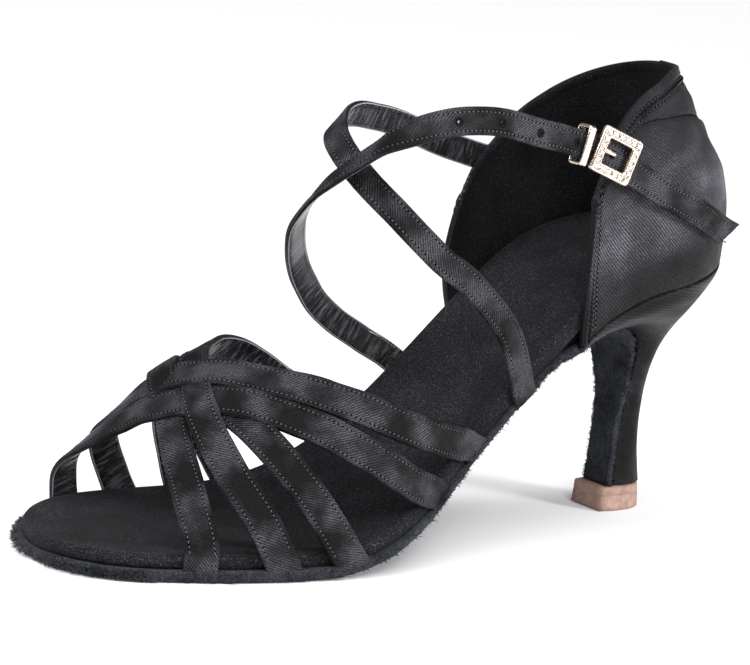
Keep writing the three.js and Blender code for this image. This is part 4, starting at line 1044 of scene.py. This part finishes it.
def make_loop():
    """The wire loop round the strap in front of the buckle, with a groove along its middle"""
    where = strap_frame(LOOP_PLACE)
    low = -(STRAP_THICKNESS / 2 + TAB_THICKNESS + 2 * FIT_GAP) - LOOP_WIRE / 2
    high = STRAP_THICKNESS / 2 + FIT_GAP + LOOP_WIRE / 2
    half = CROSS_WIDTH / 2 + 2 * FIT_GAP + LOOP_WIRE / 2
    middle = (low + high) / 2
    shape = rounded_rectangle(2 * half, high - low, .75, 5)
    rings = []
    for across, out in shape:
        centre = np.array([across, out])
        way = np.array([across / half, out / max(high - low, 1)])
        way /= np.linalg.norm(way)
        ring = []
        for k in range(16):
            turn = 2 * math.pi * k / 16
            along = math.cos(turn) * LOOP_LENGTH / 2
            swell = LOOP_WIRE / 2 * (abs(math.sin(turn)) ** .7) * math.copysign(1, math.sin(turn))
            swell *= 1 - .3 * math.exp(-(along / .28) ** 2)
            spot = centre + way * swell
            ring.append(within(where, along, spot[0], spot[1] + middle))
        rings.append(ring)
    rings = np.array(rings)
    faces = closed_ring_faces(*rings.shape[:2])
    made = outward(add_mesh("buckle_keeper", rings.reshape(-1, 3), faces, [ROSE]))
    place(made, "pale_gold", "buckle_loop")
    return where


def make_prong():
    where = strap_frame(0)
    height = STRAP_THICKNESS / 2 + BUCKLE_LIFT + BUCKLE_THICKNESS / 2
    start = BUCKLE_BORDER + FIT_GAP - BUCKLE_LENGTH / 2
    line = [(start, height + .1), (start * .6, height + .25), (-PRONG_DIAMETER / 2, height + .1),
            (.15, height - PRONG_DIAMETER * .7), (.2, -STRAP_THICKNESS / 4)]
    points = three_curve([within(where, a, 0, out) for a, out in line], 22)[0]
    rings = tube(points, PRONG_DIAMETER, 14)
    for i, p in enumerate(points):
        rings[i] = p + (rings[i] - p) * (1.12 - .35 * i / len(points))
    add_rings("buckle_tongue", rings, [ROSE], "pale_gold", "buckle_prong")


def counter_outset(x, z):
    up = (z - SEAT_HEIGHT) / COUNTER_HEIGHT
    length = COUNTER_FRONT_OUTER + HEEL_SETBACK
    scale = (length - counter_lean(up) * HEEL_SETBACK) / length
    behind = min(x - COUNTER_FRONT_OUTER, 0)
    return (edge(COUNTER_FRONT_OUTER + behind / scale, 1) + FIT_GAP + COUNTER_WALL) * counter_girth(up)


def make_tab(where):
    """The folded strap that holds the loop and is sewn to the counter"""
    low = -(STRAP_THICKNESS / 2 + TAB_THICKNESS + 2 * FIT_GAP)
    fold = LOOP_WIRE / 2 + FIT_GAP + TAB_THICKNESS / 2
    leg = low - LOOP_WIRE / 2
    corner = LOOP_LENGTH / 2
    line = [(corner + TAB_FOLD, leg + fold), (0, leg + fold)]
    for i in range(9):
        turn = math.pi * (1 - i / 8)
        line.append((-corner - fold * math.sin(turn), leg - fold * math.cos(turn)))
    points = [within(where, a, 0, out) for a, out in line]
    start = points[-1][1]
    for i in range(1, 9):
        here = strap_frame(LOOP_PLACE + TAB_REACH * i / 8)[0].copy()
        ease = min(i / 8 * 2.4, 1)
        level = counter_outset(here[0], here[2]) + 2 * FIT_GAP + TAB_THICKNESS / 2
        here[1] = mix(start, level, ease * ease * (3 - 2 * ease))
        points.append(here)
    centre = three_curve(points, 90)[0]
    along, across = smooth_frames(centre, np.tile(where[2], (90, 1)))
    normal = np.cross(along, across)
    w, h = TAB_WIDTH / 2, TAB_THICKNESS / 2
    section = [(-w, 0), (-w + .15, h * .8), (-w + .5, h)]
    section += [(a, h + .04 * math.cos(a)) for a in np.linspace(-w + 1, w - 1, 9)]
    section += [(w - .5, h), (w - .15, h * .8), (w, 0), (w - .15, -h * .8), (w - .5, -h)]
    section += [(a, -h) for a in np.linspace(w - 1, -w + 1, 5)] + [(-w + .5, -h), (-w + .15, -h * .8)]
    rings = np.array([[p + side * a + out * b for a, b in section]
                      for p, side, out in zip(centre, across, normal)])
    uvs = [(i * .5, a + 600) for i in range(len(centre)) for a, _ in section]
    made = add_mesh("buckle_tab_satin", rings.reshape(-1, 3), ring_faces(*rings.shape[:2]), [STRAP_SATIN],
                    uvs=uvs)
    place(outward(made), "tab_satin", "buckle_tab")


make_buckle_frame()
loop_where = make_loop()
make_prong()
make_tab(loop_where)


# Counter

def counter_point(side, depth, v, outset):
    front = COUNTER_FRONT_OUTER if side > 0 else COUNTER_FRONT_INNER
    share = along_of(front) * (1 - depth)
    x, y = outline(share, side, outset)
    bottom = sole_top(place_of(share)) - SKIRT_DEPTH
    topline = topline_outer(depth) if side > 0 else topline_inner(depth)
    top = SEAT_HEIGHT + COUNTER_HEIGHT * topline
    z = mix(bottom, top, v)
    up = (z - SEAT_HEIGHT) / COUNTER_HEIGHT
    length = front + HEEL_SETBACK
    scale = (length - counter_lean(up) * HEEL_SETBACK) / length
    bulge = INNER_BULGE * math.sin(math.pi * min(v, 1)) * (1 - depth) ** 6 if side < 0 else 0
    return np.array([front + (x - front) * scale + bulge, y * counter_girth(up), z])


def round_the_heel(count):
    depths = [math.sin(math.pi * i / (2 * count)) for i in range(count + 1)]
    return [(1, d) for d in depths] + [(-1, d) for d in depths[-2::-1]]


def relief(distance, ridges):
    return sum(height * np.exp(-((distance - at) / width) ** 2) for at, width, height in ridges)


def running_length(points, axis):
    steps = np.linalg.norm(np.diff(points, axis=axis), axis=2)
    total = np.zeros(points.shape[:2])
    if axis == 1:
        total[:, 1:] = np.cumsum(steps, axis=1)
    else:
        total[1:] = np.cumsum(steps, axis=0)
    return total


def counter_relief(sides, outer, run, height):
    """How far the satin stands out: collar, front edges, heel patch and folds"""
    middle = len(sides) // 2
    from_top = height[-1] - height
    from_front = np.minimum(run, run[:, -1:] - run)
    lift = relief(from_top, COLLAR_RELIEF) + relief(from_front, FRONT_RELIEF)
    patch = np.array([
        mix(PATCH_TOP, PATCH_DEPTH, max((depth - PATCH_START) / (1 - PATCH_START), 0)) for _, depth in sides])
    lift -= .55 * np.exp(-((from_top - patch) / .8) ** 2) * (patch > PATCH_TOP + .1)
    lift -= .45 * np.exp(-(height / .5) ** 2)
    for fold in COUNTER_FOLDS:
        outside = fold["side"] > 0
        away = (run if outside else run[:, -1:] - run) - fold["depth"] * run[0, middle]
        across = outer[..., 2] - SEAT_HEIGHT - fold["up"] - away * fold["slope"]
        swell = fold["height"] * np.exp(-(away / fold["reach"]) ** 2 - (across / fold["rise"]) ** 2)
        kept = slice(None, middle + 1) if outside else slice(middle, None)
        lift[:, kept] += swell[:, kept]
    lift += .06 * waves(run + height * .7, 3, 17) * np.clip(from_top / 5, 0, 1)
    return lift, patch, from_top, from_front


def make_counter():
    """The counter: satin outside, microfibre inside, a rolled collar and turned front edges"""
    coarse = [depth for side, depth in round_the_heel(COUNTER_COLUMNS // 2) if side > 0]
    fine = [i * EDGE_SPACING for i in range(EDGE_COLUMNS)]
    depths = fine + [depth for depth in coarse if depth > fine[-1] + EDGE_SPACING]
    sides = [(1, depth) for depth in depths] + [(-1, depth) for depth in depths[-2::-1]]
    columns, rows = len(sides), COUNTER_ROWS
    shares = [1 - (1 - i / rows) ** 1.6 for i in range(rows + 1)]
    outer, inner = (
        np.array([[counter_point(side, depth, v, outset) for side, depth in sides] for v in shares])
        for outset in (FIT_GAP + COUNTER_WALL, FIT_GAP))
    normal = np.cross(np.gradient(outer, axis=1), np.gradient(outer, axis=0))
    normal /= np.linalg.norm(normal, axis=2)[..., None]
    normal *= np.sign(np.sum(normal * (outer - inner), axis=2))[..., None]
    run, height = running_length(outer, 1), running_length(outer, 0)
    lift, patch, from_top, from_front = counter_relief(sides, outer, run, height)
    outer = outer + normal * lift[..., None]
    inside = relief(from_top, INSIDE_RELIEF)
    inside += .12 * waves(run * .8 + height, 7, 21) * np.clip(from_top / 6, 0, 1)
    inner = inner + normal * inside[..., None] * .8
    middle_line, half_wall = (outer[-1] + inner[-1]) / 2, (outer[-1] - inner[-1]) / 2
    rim = np.array([
        middle_line + half_wall * math.cos(turn) + np.array([0, 0, RIM_RISE]) * math.sin(turn)
        for turn in (math.pi * k / RIM_STEPS for k in range(1, RIM_STEPS))])
    grid = np.concatenate([outer, rim, inner[::-1]])
    total = len(grid)
    across = np.concatenate([run, np.tile(run[-1], (len(rim), 1)), run[::-1]])
    up = np.concatenate([height, np.tile(height[-1], (len(rim), 1)), height[::-1] + 80])
    uvs = np.stack([across, up], axis=-1).reshape(-1, 2)
    faces, kinds = [], []
    for i in range(total):
        for j in range(columns - 1):
            a, b = i * columns + j, (i + 1) % total * columns + j
            faces.append((a, a + 1, b + 1, b))
            kinds.append(1 if rows + len(rim) // 2 < i < total - 1 else 0)
    for j in (0, columns - 1):
        ring = [i * columns + j for i in range(total)]
        faces += [(ring[i], ring[i + 1], ring[-2 - i], ring[-1 - i]) for i in range(total // 2 - 1)]
    kinds += [0] * (len(faces) - len(kinds))
    made = add_mesh("counter_satin_cup", grid.reshape(-1, 3), faces, [COUNTER_SATIN, COUNTER_LINING], kinds, uvs)
    place(outward(made), "counter_satin", "counter")
    sew_counter(sides, outer, inner, normal, patch, from_top, from_front)


def sew_counter(sides, outer, inner, normal, patch, from_top, from_front):
    """The collar's rows, the heel patch's zigzag and the two rows beside each front edge"""
    columns, rows = len(sides), COUNTER_ROWS

    def surface_row(distances, grid_points, away):
        """A line on the wall at a distance below its top edge, with its normals"""
        line, normals = [], []
        for j in range(1, columns - 1):
            i = int(np.argmin(np.abs(from_top[:, j] - distances[j])))
            near = slice(max(i - 1, 0), min(i + 1, rows) + 1)
            order = np.argsort(from_top[near, j])
            spots, levels = grid_points[near, j][order], from_top[near, j][order]
            line.append([np.interp(distances[j], levels, spots[:, k]) for k in range(3)])
            normals.append(normal[i, j] * away)
        return line, normals

    bars, zigzag = [], []
    for distance in (2.1, 4.1):
        bars += row_of_stitches(*surface_row(np.full(columns, distance), outer, 1))
    inner_bars = row_of_stitches(*surface_row(np.full(columns, 2.8), inner, -1))
    first = next(j for j, (_, depth) in enumerate(sides) if depth >= PATCH_START)
    middle = columns // 2
    for distances, stop in ((patch, middle + 30), (np.full(columns, 2.9), middle)):
        line, normals = surface_row(distances, outer, 1)
        for shift in (0, .8):
            shifted = np.array(line[first:stop]) - np.array([0, 0, shift])
            zigzag += row_of_stitches(shifted, normals[first:stop], .75, 1.0, 1.1)
    for way in (1, -1):
        for distance in (3.8, 4.7):
            line, normals = [], []
            for i in range(2, rows - 2):
                row, cells = from_front[i][::way], outer[i][::way]
                j = int(np.searchsorted(row[:columns // 2], distance))
                line.append(mix(cells[j - 1], cells[j], (distance - row[j - 1]) / (row[j] - row[j - 1])))
                normals.append(normal[i][::way][j])
            bars += row_of_stitches(line, normals)
    # Painted shade of the needle holes between the counter's stitches
    holes = needle_hole_painted_shade(bars, .5)
    stitches("counter_seams", bars, THREAD_WITH_PAINTED_HIGHLIGHT, "counter_satin", .26)
    stitches("counter_needle_hole_painted_shade", holes, HOLE_PAINTED_SHADE, "counter_satin", .5)
    stitches("collar_inner_seam", inner_bars, DARK_THREAD, "counter_satin", .26)
    stitches("counter_zigzag", zigzag, ZIGZAG_THREAD, "counter_satin", .46)


make_counter()
stitches("strap_seams", upper_bars, THREAD_WITH_PAINTED_HIGHLIGHT, "strap_satin")
stitches("strap_needle_hole_painted_shade", upper_hole_painted_shades, HOLE_PAINTED_SHADE, "strap_satin", .5)
stitches("strap_lining_seams", lining_bars, DARK_THREAD, "strap_satin")


# Insole

def make_insole():
    """The footbed: a wrapped rolled edge, a soft ridge inside it and the foot's shallow hollows"""
    shares = [TOE_END * share for share in spread(INSOLE_STEPS)]
    across_steps = 36
    rings = []
    wrap = [("bottom", 0), ("side", INSOLE_ROLL + .3)]
    for k in range(5):
        wrap.append(("roll", math.pi / 2 * k / 4))
    for along in shares:
        ring = []
        for side in (1, -1):
            line = []
            for kind, value in wrap:
                if kind == "roll":
                    inset = INSOLE_ROLL * (1 - math.cos(value))
                    depth = INSOLE_ROLL * (1 - math.sin(value))
                else:
                    inset = 0
                    depth = board_at(place_of(along)) if kind == "bottom" else value
                x, y = outline(along, side, -inset)
                point = below(x, y, depth)
                point[0] = max(point[0], place_of(0))
                line.append(point)
            ring.append(line)
        outer_line, inner_line = ring
        a, b = outer_line[-1], inner_line[-1]
        width = np.linalg.norm(a - b)
        top = []
        for k in range(1, across_steps):
            t = k / across_steps
            p = mix(a, b, t)
            near = min(t, 1 - t) * width
            dish = INSOLE_DISH * min(1, width / (BALL_WIDTH / 2)) * (1 - (2 * t - 1) ** 4)
            ridge = .14 * math.exp(-((near - 4.4) / .9) ** 2) - .1 * math.exp(-((near - 2.6) / .8) ** 2)
            hollow = sum(depth * math.exp(-((along - at) * INSOLE_LENGTH / reach) ** 2
                                          - (((2 * t - 1) - place_across) * width / 2 / spread_across) ** 2)
                         for at, place_across, reach, spread_across, depth in FOOT_HOLLOWS)
            fade = min(1, width / 30)
            p = p + np.array([0, 0, -dish + (ridge - hollow) * fade])
            top.append(p)
        rings.append(outer_line + top + inner_line[::-1])
    rings = np.array(rings)
    rows, size = rings.shape[:2]
    faces = ring_faces(rows, size, False)
    made = add_mesh("insole_footbed", rings.reshape(-1, 3), faces, [INSOLE_CLOTH])
    weld(made, .02)
    place(outward(made), "insole_microfibre", "insole")


def weld(made, distance):
    """Joins points that lie together and closes what is left open"""
    work = bmesh.new()
    work.from_mesh(made.data)
    bmesh.ops.remove_doubles(work, verts=work.verts, dist=distance * MM)
    bmesh.ops.holes_fill(work, edges=[e for e in work.edges if e.is_boundary], sides=0)
    work.to_mesh(made.data)
    work.free()


make_insole()


# Outsole

def outsole_path():
    path = []
    near_end = .0003
    shares = [TOE_END * share for share in reversed(spread(SOLE_STEPS))]
    for along in [TOE_END - near_end] + [share for share in shares if share < TOE_END - 2 * near_end]:
        x = place_of(along)
        if x < HEEL_SETBACK * 2:
            break
        arch = 1 - min(max((along - .5) / .17, 0), 1)
        at_toe = min(max((along - .84) / .12, 0), 1)
        rim = mix(OUTSOLE_RIM * last_rim(along), .6, at_toe) - .4 * arch
        stretch = rim * max(0, (along - .75) / .25) ** 2
        low = below(x, 0, board_at(x) + FIT_GAP + OUTSOLE_THICKNESS - ARCH_THINNER * arch)
        path.append((low[0] + stretch, low[2], edge(x, 1) + rim, edge(x, -1) - rim,
                     OUTSOLE_THICKNESS - ARCH_THINNER * arch))
    rear = path[-8::4] + [
        (row["forward"] * HEEL_SETBACK, heel_level(row["level"]), row["outer"] * SEAT_WIDTH,
         -row["inner"] * SEAT_WIDTH, row["thick"] * OUTSOLE_THICKNESS) for row in FLAP]
    spots = np.array(rear)
    line = three_curve([(p[0], 0, p[1]) for p in rear], 90)[0]
    steps = np.concatenate([[0], np.cumsum(np.hypot(np.diff(spots[:, 0]), np.diff(spots[:, 1])))])
    steps /= steps[-1]
    at = np.linspace(0, 1, 90)
    smooth = [(line[i][0], line[i][2], *(float(np.interp(at[i], steps, spots[:, k])) for k in (2, 3, 4)))
              for i in range(90)]
    return path[:-8] + smooth


def make_outsole():
    """The suede sole and the suede of the heel breast, with frayed cut edges"""
    path = outsole_path()
    spots = np.array([(p[0], p[1]) for p in path])
    run = np.concatenate([[0], np.cumsum(np.linalg.norm(np.diff(spots, axis=0), axis=1))])
    rng = np.random.default_rng(SEED)
    rings, rim_points = [], []
    for i, (x, z, outer, inner, thick) in enumerate(path):
        a, b = spots[max(i - 1, 0)], spots[min(i + 1, len(path) - 1)]
        along = (b - a) / np.linalg.norm(b - a)
        ragged = [
            .34 * waves(run[i], seed, 9) + .3 * waves(run[i], seed + 5, 2.6) for seed in (1, 2)]
        full = min(1, (outer - inner) / 20)
        outer += ragged[0] * full
        inner -= ragged[1] * full
        bevel = min(.5, (outer - inner) * .1)
        section = [(inner, thick - .35), (inner - .1, thick * .5), (inner, bevel), (inner + bevel, 0)]
        section += [(mix(inner + bevel, outer - bevel, t), 0) for t in np.linspace(.08, .92, 11)]
        section += [(outer - bevel, 0), (outer, bevel), (outer + .1, thick * .5), (outer, thick - .35),
                    (outer - .4, thick)]
        section += [(mix(outer - .4, inner + .4, t), thick) for t in np.linspace(.1, .9, 7)]
        section += [(inner + .4, thick)]
        ring = [np.array([x + along[1] * h, y, z - along[0] * h]) for y, h in section]
        rings.append(ring)
        if full > .3:
            for y, way in ((outer, 1), (inner, -1)):
                rim_points.append((np.array([x, y, z]), np.array([along[1], 0, -along[0]]),
                                   np.array([0, way, 0]), thick, np.array([along[0], 0, along[1]])))
    rings = np.array(rings)
    rough = rng.normal(0, .05, rings.shape[:2])
    rough[:, 4:15] *= .4
    rings[..., 1] += rough * np.sign(rings[..., 1])
    made = add_mesh("outsole_suede", rings.reshape(-1, 3), ring_faces(*rings.shape[:2]), [SUEDE])
    place(outward(made), "sole_suede", "outsole")
    toe = []
    for share in np.linspace(.88, TOE_END, 60):
        for side in (1, -1):
            kept = min(share, TOE_END - .0005)
            x, y = outline(kept, side, OUTSOLE_RIM)
            x2, y2 = outline(kept, side, OUTSOLE_RIM + 1)
            toe.append((np.array([x, y, sole_top(x) - FOREFOOT_TOP]), np.array([0, 0, 1.0]),
                        np.array([x2 - x, y2 - y, 0]), OUTSOLE_THICKNESS, np.array([1.0, 0, 0])))
    add_fibres(rim_points, toe, rng)


def add_fibres(rim_points, toe, rng):
    """Short loose fibres that stand out of the suede's cut edge, each a thin closed spike"""
    points = np.zeros((FIBRE_COUNT, 4, 3))
    for i in range(FIBRE_COUNT):
        source = toe if i % 6 == 0 else rim_points
        base, up, way, thick, along = source[rng.integers(len(source))]
        root = base + up * thick * rng.uniform(.02, .98) - way * .15 + along * rng.uniform(-.8, .8)
        tip = root + unit(way * rng.uniform(.4, 1) + up * rng.normal(0, .5) + along * rng.normal(0, .7)) \
            * rng.uniform(.4, 1.0) * rng.choice((1, 1, 1.7))
        size = rng.uniform(.07, .16)
        root[2], tip[2] = max(root[2], .2), max(tip[2], .05)
        side = unit(np.cross(tip - root, up)) * size
        over = unit(np.cross(tip - root, side)) * size
        points[i] = (root + side, root - side * .5 + over, root - side * .5 - over, tip)
    base = np.arange(FIBRE_COUNT)[:, None] * 4
    spike = np.array([[0, 1, 2], [0, 3, 1], [1, 3, 2], [2, 3, 0]])
    faces = (base[:, :, None] + spike[None]).reshape(-1, 3)
    made = add_mesh("sole_fibres", points.reshape(-1, 3), faces.tolist(), [FIBRES])
    place(outward(made), "sole_suede")


make_outsole()


# Heel

def heel_rows():
    """The heel's table with smooth rows in between"""
    keys = ("front", "front_up", "back", "back_up", "half", "mouth", "seat", "drop")
    marks = [0.0]
    for a, b in zip(HEEL, HEEL[1:]):
        marks.append(marks[-1] + .3 + abs(b["back_up"] - a["back_up"]) * 10)
    rows = [dict(row, mark=mark) for row, mark in zip(HEEL, marks)]
    curves = {key: column(rows, "mark", key) for key in keys}
    return [{key: curves[key](marks[-1] * i / HEEL_ROWS) for key in keys} for i in range(HEEL_ROWS + 1)]


def make_heel():
    """The satin-covered heel: a slim D section that grows into the seat"""
    sides = round_the_heel(26)
    mouth_steps = 8
    rings = []
    for row in heel_rows():
        ring = []
        for side, depth in sides:
            flare = min(depth / HEEL_SHOULDER, 1)
            turn = max(0, (depth - HEEL_SHOULDER) / (1 - HEEL_SHOULDER))
            width = mix(row["mouth"], 1, math.sin(flare * math.pi / 2)) * math.sqrt(1 - turn ** 2)
            slim = np.array([mix(row["front"], row["back"], depth) * HEEL_SETBACK,
                             side * width * row["half"] * SEAT_WIDTH,
                             heel_level(mix(row["front_up"], row["back_up"], depth))])
            front = COUNTER_FRONT_OUTER if side > 0 else COUNTER_FRONT_INNER
            share = along_of(front) * (1 - depth)
            x, y = outline(share, side, COUNTER_WALL + FIT_GAP)
            seat = np.array([x, y, sole_top(place_of(share)) - SKIRT_DEPTH * row["drop"] - .1])
            ring.append(mix(slim, seat, row["seat"]))
        first, last = ring[0], ring[-1]
        for i in range(1, mouth_steps):
            ring.append(mix(last, first, i / mouth_steps))
        rings.append(ring)
    rings = np.array(rings)
    top = rings[-1]
    middle = top.mean(axis=0)
    tuck = middle - top
    tuck /= np.linalg.norm(tuck, axis=1)[:, None]
    rings[-1] = top + tuck * .5
    inset = top + tuck * 1.6
    inset[:, 2] += 1.2
    low = rings[0]
    low_inset = low + (low.mean(axis=0) - low) * .05
    rings[0, :, 2] += .35
    rings = np.concatenate([[low_inset], rings, [inset]], axis=0)
    rows, size = rings.shape[:2]
    around = np.concatenate([[0], np.cumsum(np.linalg.norm(np.diff(rings[rows // 2], axis=0), axis=1))])
    uvs = [(around[j], rings[i, j, 2]) for i in range(rows) for j in range(size)]
    points = rings.reshape(-1, 3).tolist()
    faces = ring_faces(rows, size)
    base = len(points)
    for row in WEDGE:
        x = row["forward"] * HEEL_SETBACK
        outer, inner = edge(x, 1) - WEDGE_INSET, edge(x, -1) + WEDGE_INSET
        low_z, top_z = heel_level(row["low"]), sole_top(x) - board_at(x) - FIT_GAP
        for y, z in ((outer, low_z), (outer, top_z), (inner, top_z), (inner, low_z)):
            points.append([x, y, z])
            uvs.append((y, z))
    faces += [tuple(base + k for k in face) for face in ring_faces(len(WEDGE), 4)]
    made = add_mesh("heel_satin_cover", points, faces, [HEEL_SATIN], uvs=uvs)
    place(outward(made), "heel_satin", "heel")


def make_heel_tip():
    """The rubber tip, with a bevelled foot and a moulded line under its top"""
    sides = round_the_heel(16)
    levels = [(0, -.25), (.25, .05), (.9, 0), (3.9, 0), (4.05, -.12), (4.2, -.12), (4.35, 0),
              (TIP_HEIGHT - .3, 0), (TIP_HEIGHT, -.25)]
    rings = []
    for z, inset in levels:
        grow = TIP_FLARE * (1 - z / TIP_HEIGHT) + inset
        ring = []
        for side, depth in sides:
            flare = min(depth / HEEL_SHOULDER, 1)
            turn = max(0, (depth - HEEL_SHOULDER) / (1 - HEEL_SHOULDER))
            width = mix(.92, 1, math.sin(flare * math.pi / 2)) * math.sqrt(1 - turn ** 2.4)
            x = (TIP_LENGTH / 2 + grow) * (1 - 2 * depth)
            ring.append(np.array([x, side * (TIP_WIDTH / 2 + grow) * width, z]))
        for i in range(1, 6):
            ring.append(mix(ring[len(sides) - 1], ring[0], i / 6))
        rings.append(ring)
    add_rings("heel_tip_rubber", np.array(rings), [RUBBER], "tip_rubber", "heel_tip")


make_heel()
make_heel_tip()


# Stage, camera and light

FLOOR_REACH = 9
FLOOR_LEVEL = -.0002
ROOM_LIGHT = .2
SUN_POWER = 2.85
SUN_SPREAD = 80
SUN_LEAN = (-14, 10, 0)
CAMERA_SPOT = (.672984, .781663, .253059)
CAMERA_RIGHT = (-.80708, .58571, .07461)
CAMERA_UP = (-.05798, -.20437, .97718)
CAMERA_BACK = (.58759, .78433, .19890)
CAMERA_LENS = 178.89


def plain(name, colour, roughness):
    look = Look(name, roughness)
    mottle = look.node("ShaderNodeTexNoise", Scale=3)
    tones = [(.3, tuple(c * .995 for c in colour)), (.7, colour)]
    look.wear("Base Color", look.ramp(mottle.outputs["Fac"], tones))
    return look.material


floor_mesh = bpy.data.meshes.new("floor")
floor_corners = [(x * FLOOR_REACH, y * FLOOR_REACH, FLOOR_LEVEL) for x, y in ((-1, -1), (1, -1), (1, 1), (-1, 1))]
floor_mesh.from_pydata(floor_corners, [], [(0, 1, 2, 3)])
floor_mesh.materials.append(plain("floor_white", (.93, .93, .94), .7))
floor = bpy.data.objects.new("floor", floor_mesh)
bpy.context.scene.collection.objects.link(floor)

world = bpy.data.worlds.new("studio")
world.use_nodes = True
world.node_tree.nodes["Background"].inputs["Color"].default_value = (1, 1, 1, 1)
world.node_tree.nodes["Background"].inputs["Strength"].default_value = ROOM_LIGHT
bpy.context.scene.world = world
bpy.context.scene.view_settings.view_transform = "Standard"


def frame_matrix(right, up, back, spot):
    return Matrix([[right[i], up[i], back[i], spot[i]] for i in range(3)] + [[0, 0, 0, 1]])


def area_light(name, spot, target, size, power):
    data = bpy.data.lights.new(name, "AREA")
    data.shape = "RECTANGLE"
    data.size, data.size_y = size
    data.energy = power
    light = bpy.data.objects.new(name, data)
    spot, target = np.array(spot), np.array(target)
    back = unit(spot - target)
    side = unit(np.cross(np.array([0, 0, 1.0]), back))
    up = np.cross(back, side)
    light.matrix_world = frame_matrix(side, up, back, spot)
    bpy.context.scene.collection.objects.link(light)


camera_data = bpy.data.cameras.new("camera")
camera_data.sensor_width = 36
camera_data.lens = CAMERA_LENS
camera_data.clip_start = .05
camera_data.clip_end = 60
camera = bpy.data.objects.new("camera", camera_data)
camera.matrix_world = frame_matrix(CAMERA_RIGHT, CAMERA_UP, CAMERA_BACK, CAMERA_SPOT)
bpy.context.scene.collection.objects.link(camera)
bpy.context.scene.camera = camera

sun_data = bpy.data.lights.new("overhead", "SUN")
sun_data.energy = SUN_POWER
sun_data.angle = math.radians(SUN_SPREAD)
sun = bpy.data.objects.new("overhead", sun_data)
sun.rotation_euler = [math.radians(angle) for angle in SUN_LEAN]
bpy.context.scene.collection.objects.link(sun)
area_light("left", (.75, -.1, .4), (.1, 0, .06), (.2, .4), 3.5)
area_light("front", (.35, .8, .7), (.06, 0, .07), (.3, .3), 3.0)
area_light("right", (-.42, .72, .3), (.0, 0, .08), (.2, .3), 7.0)
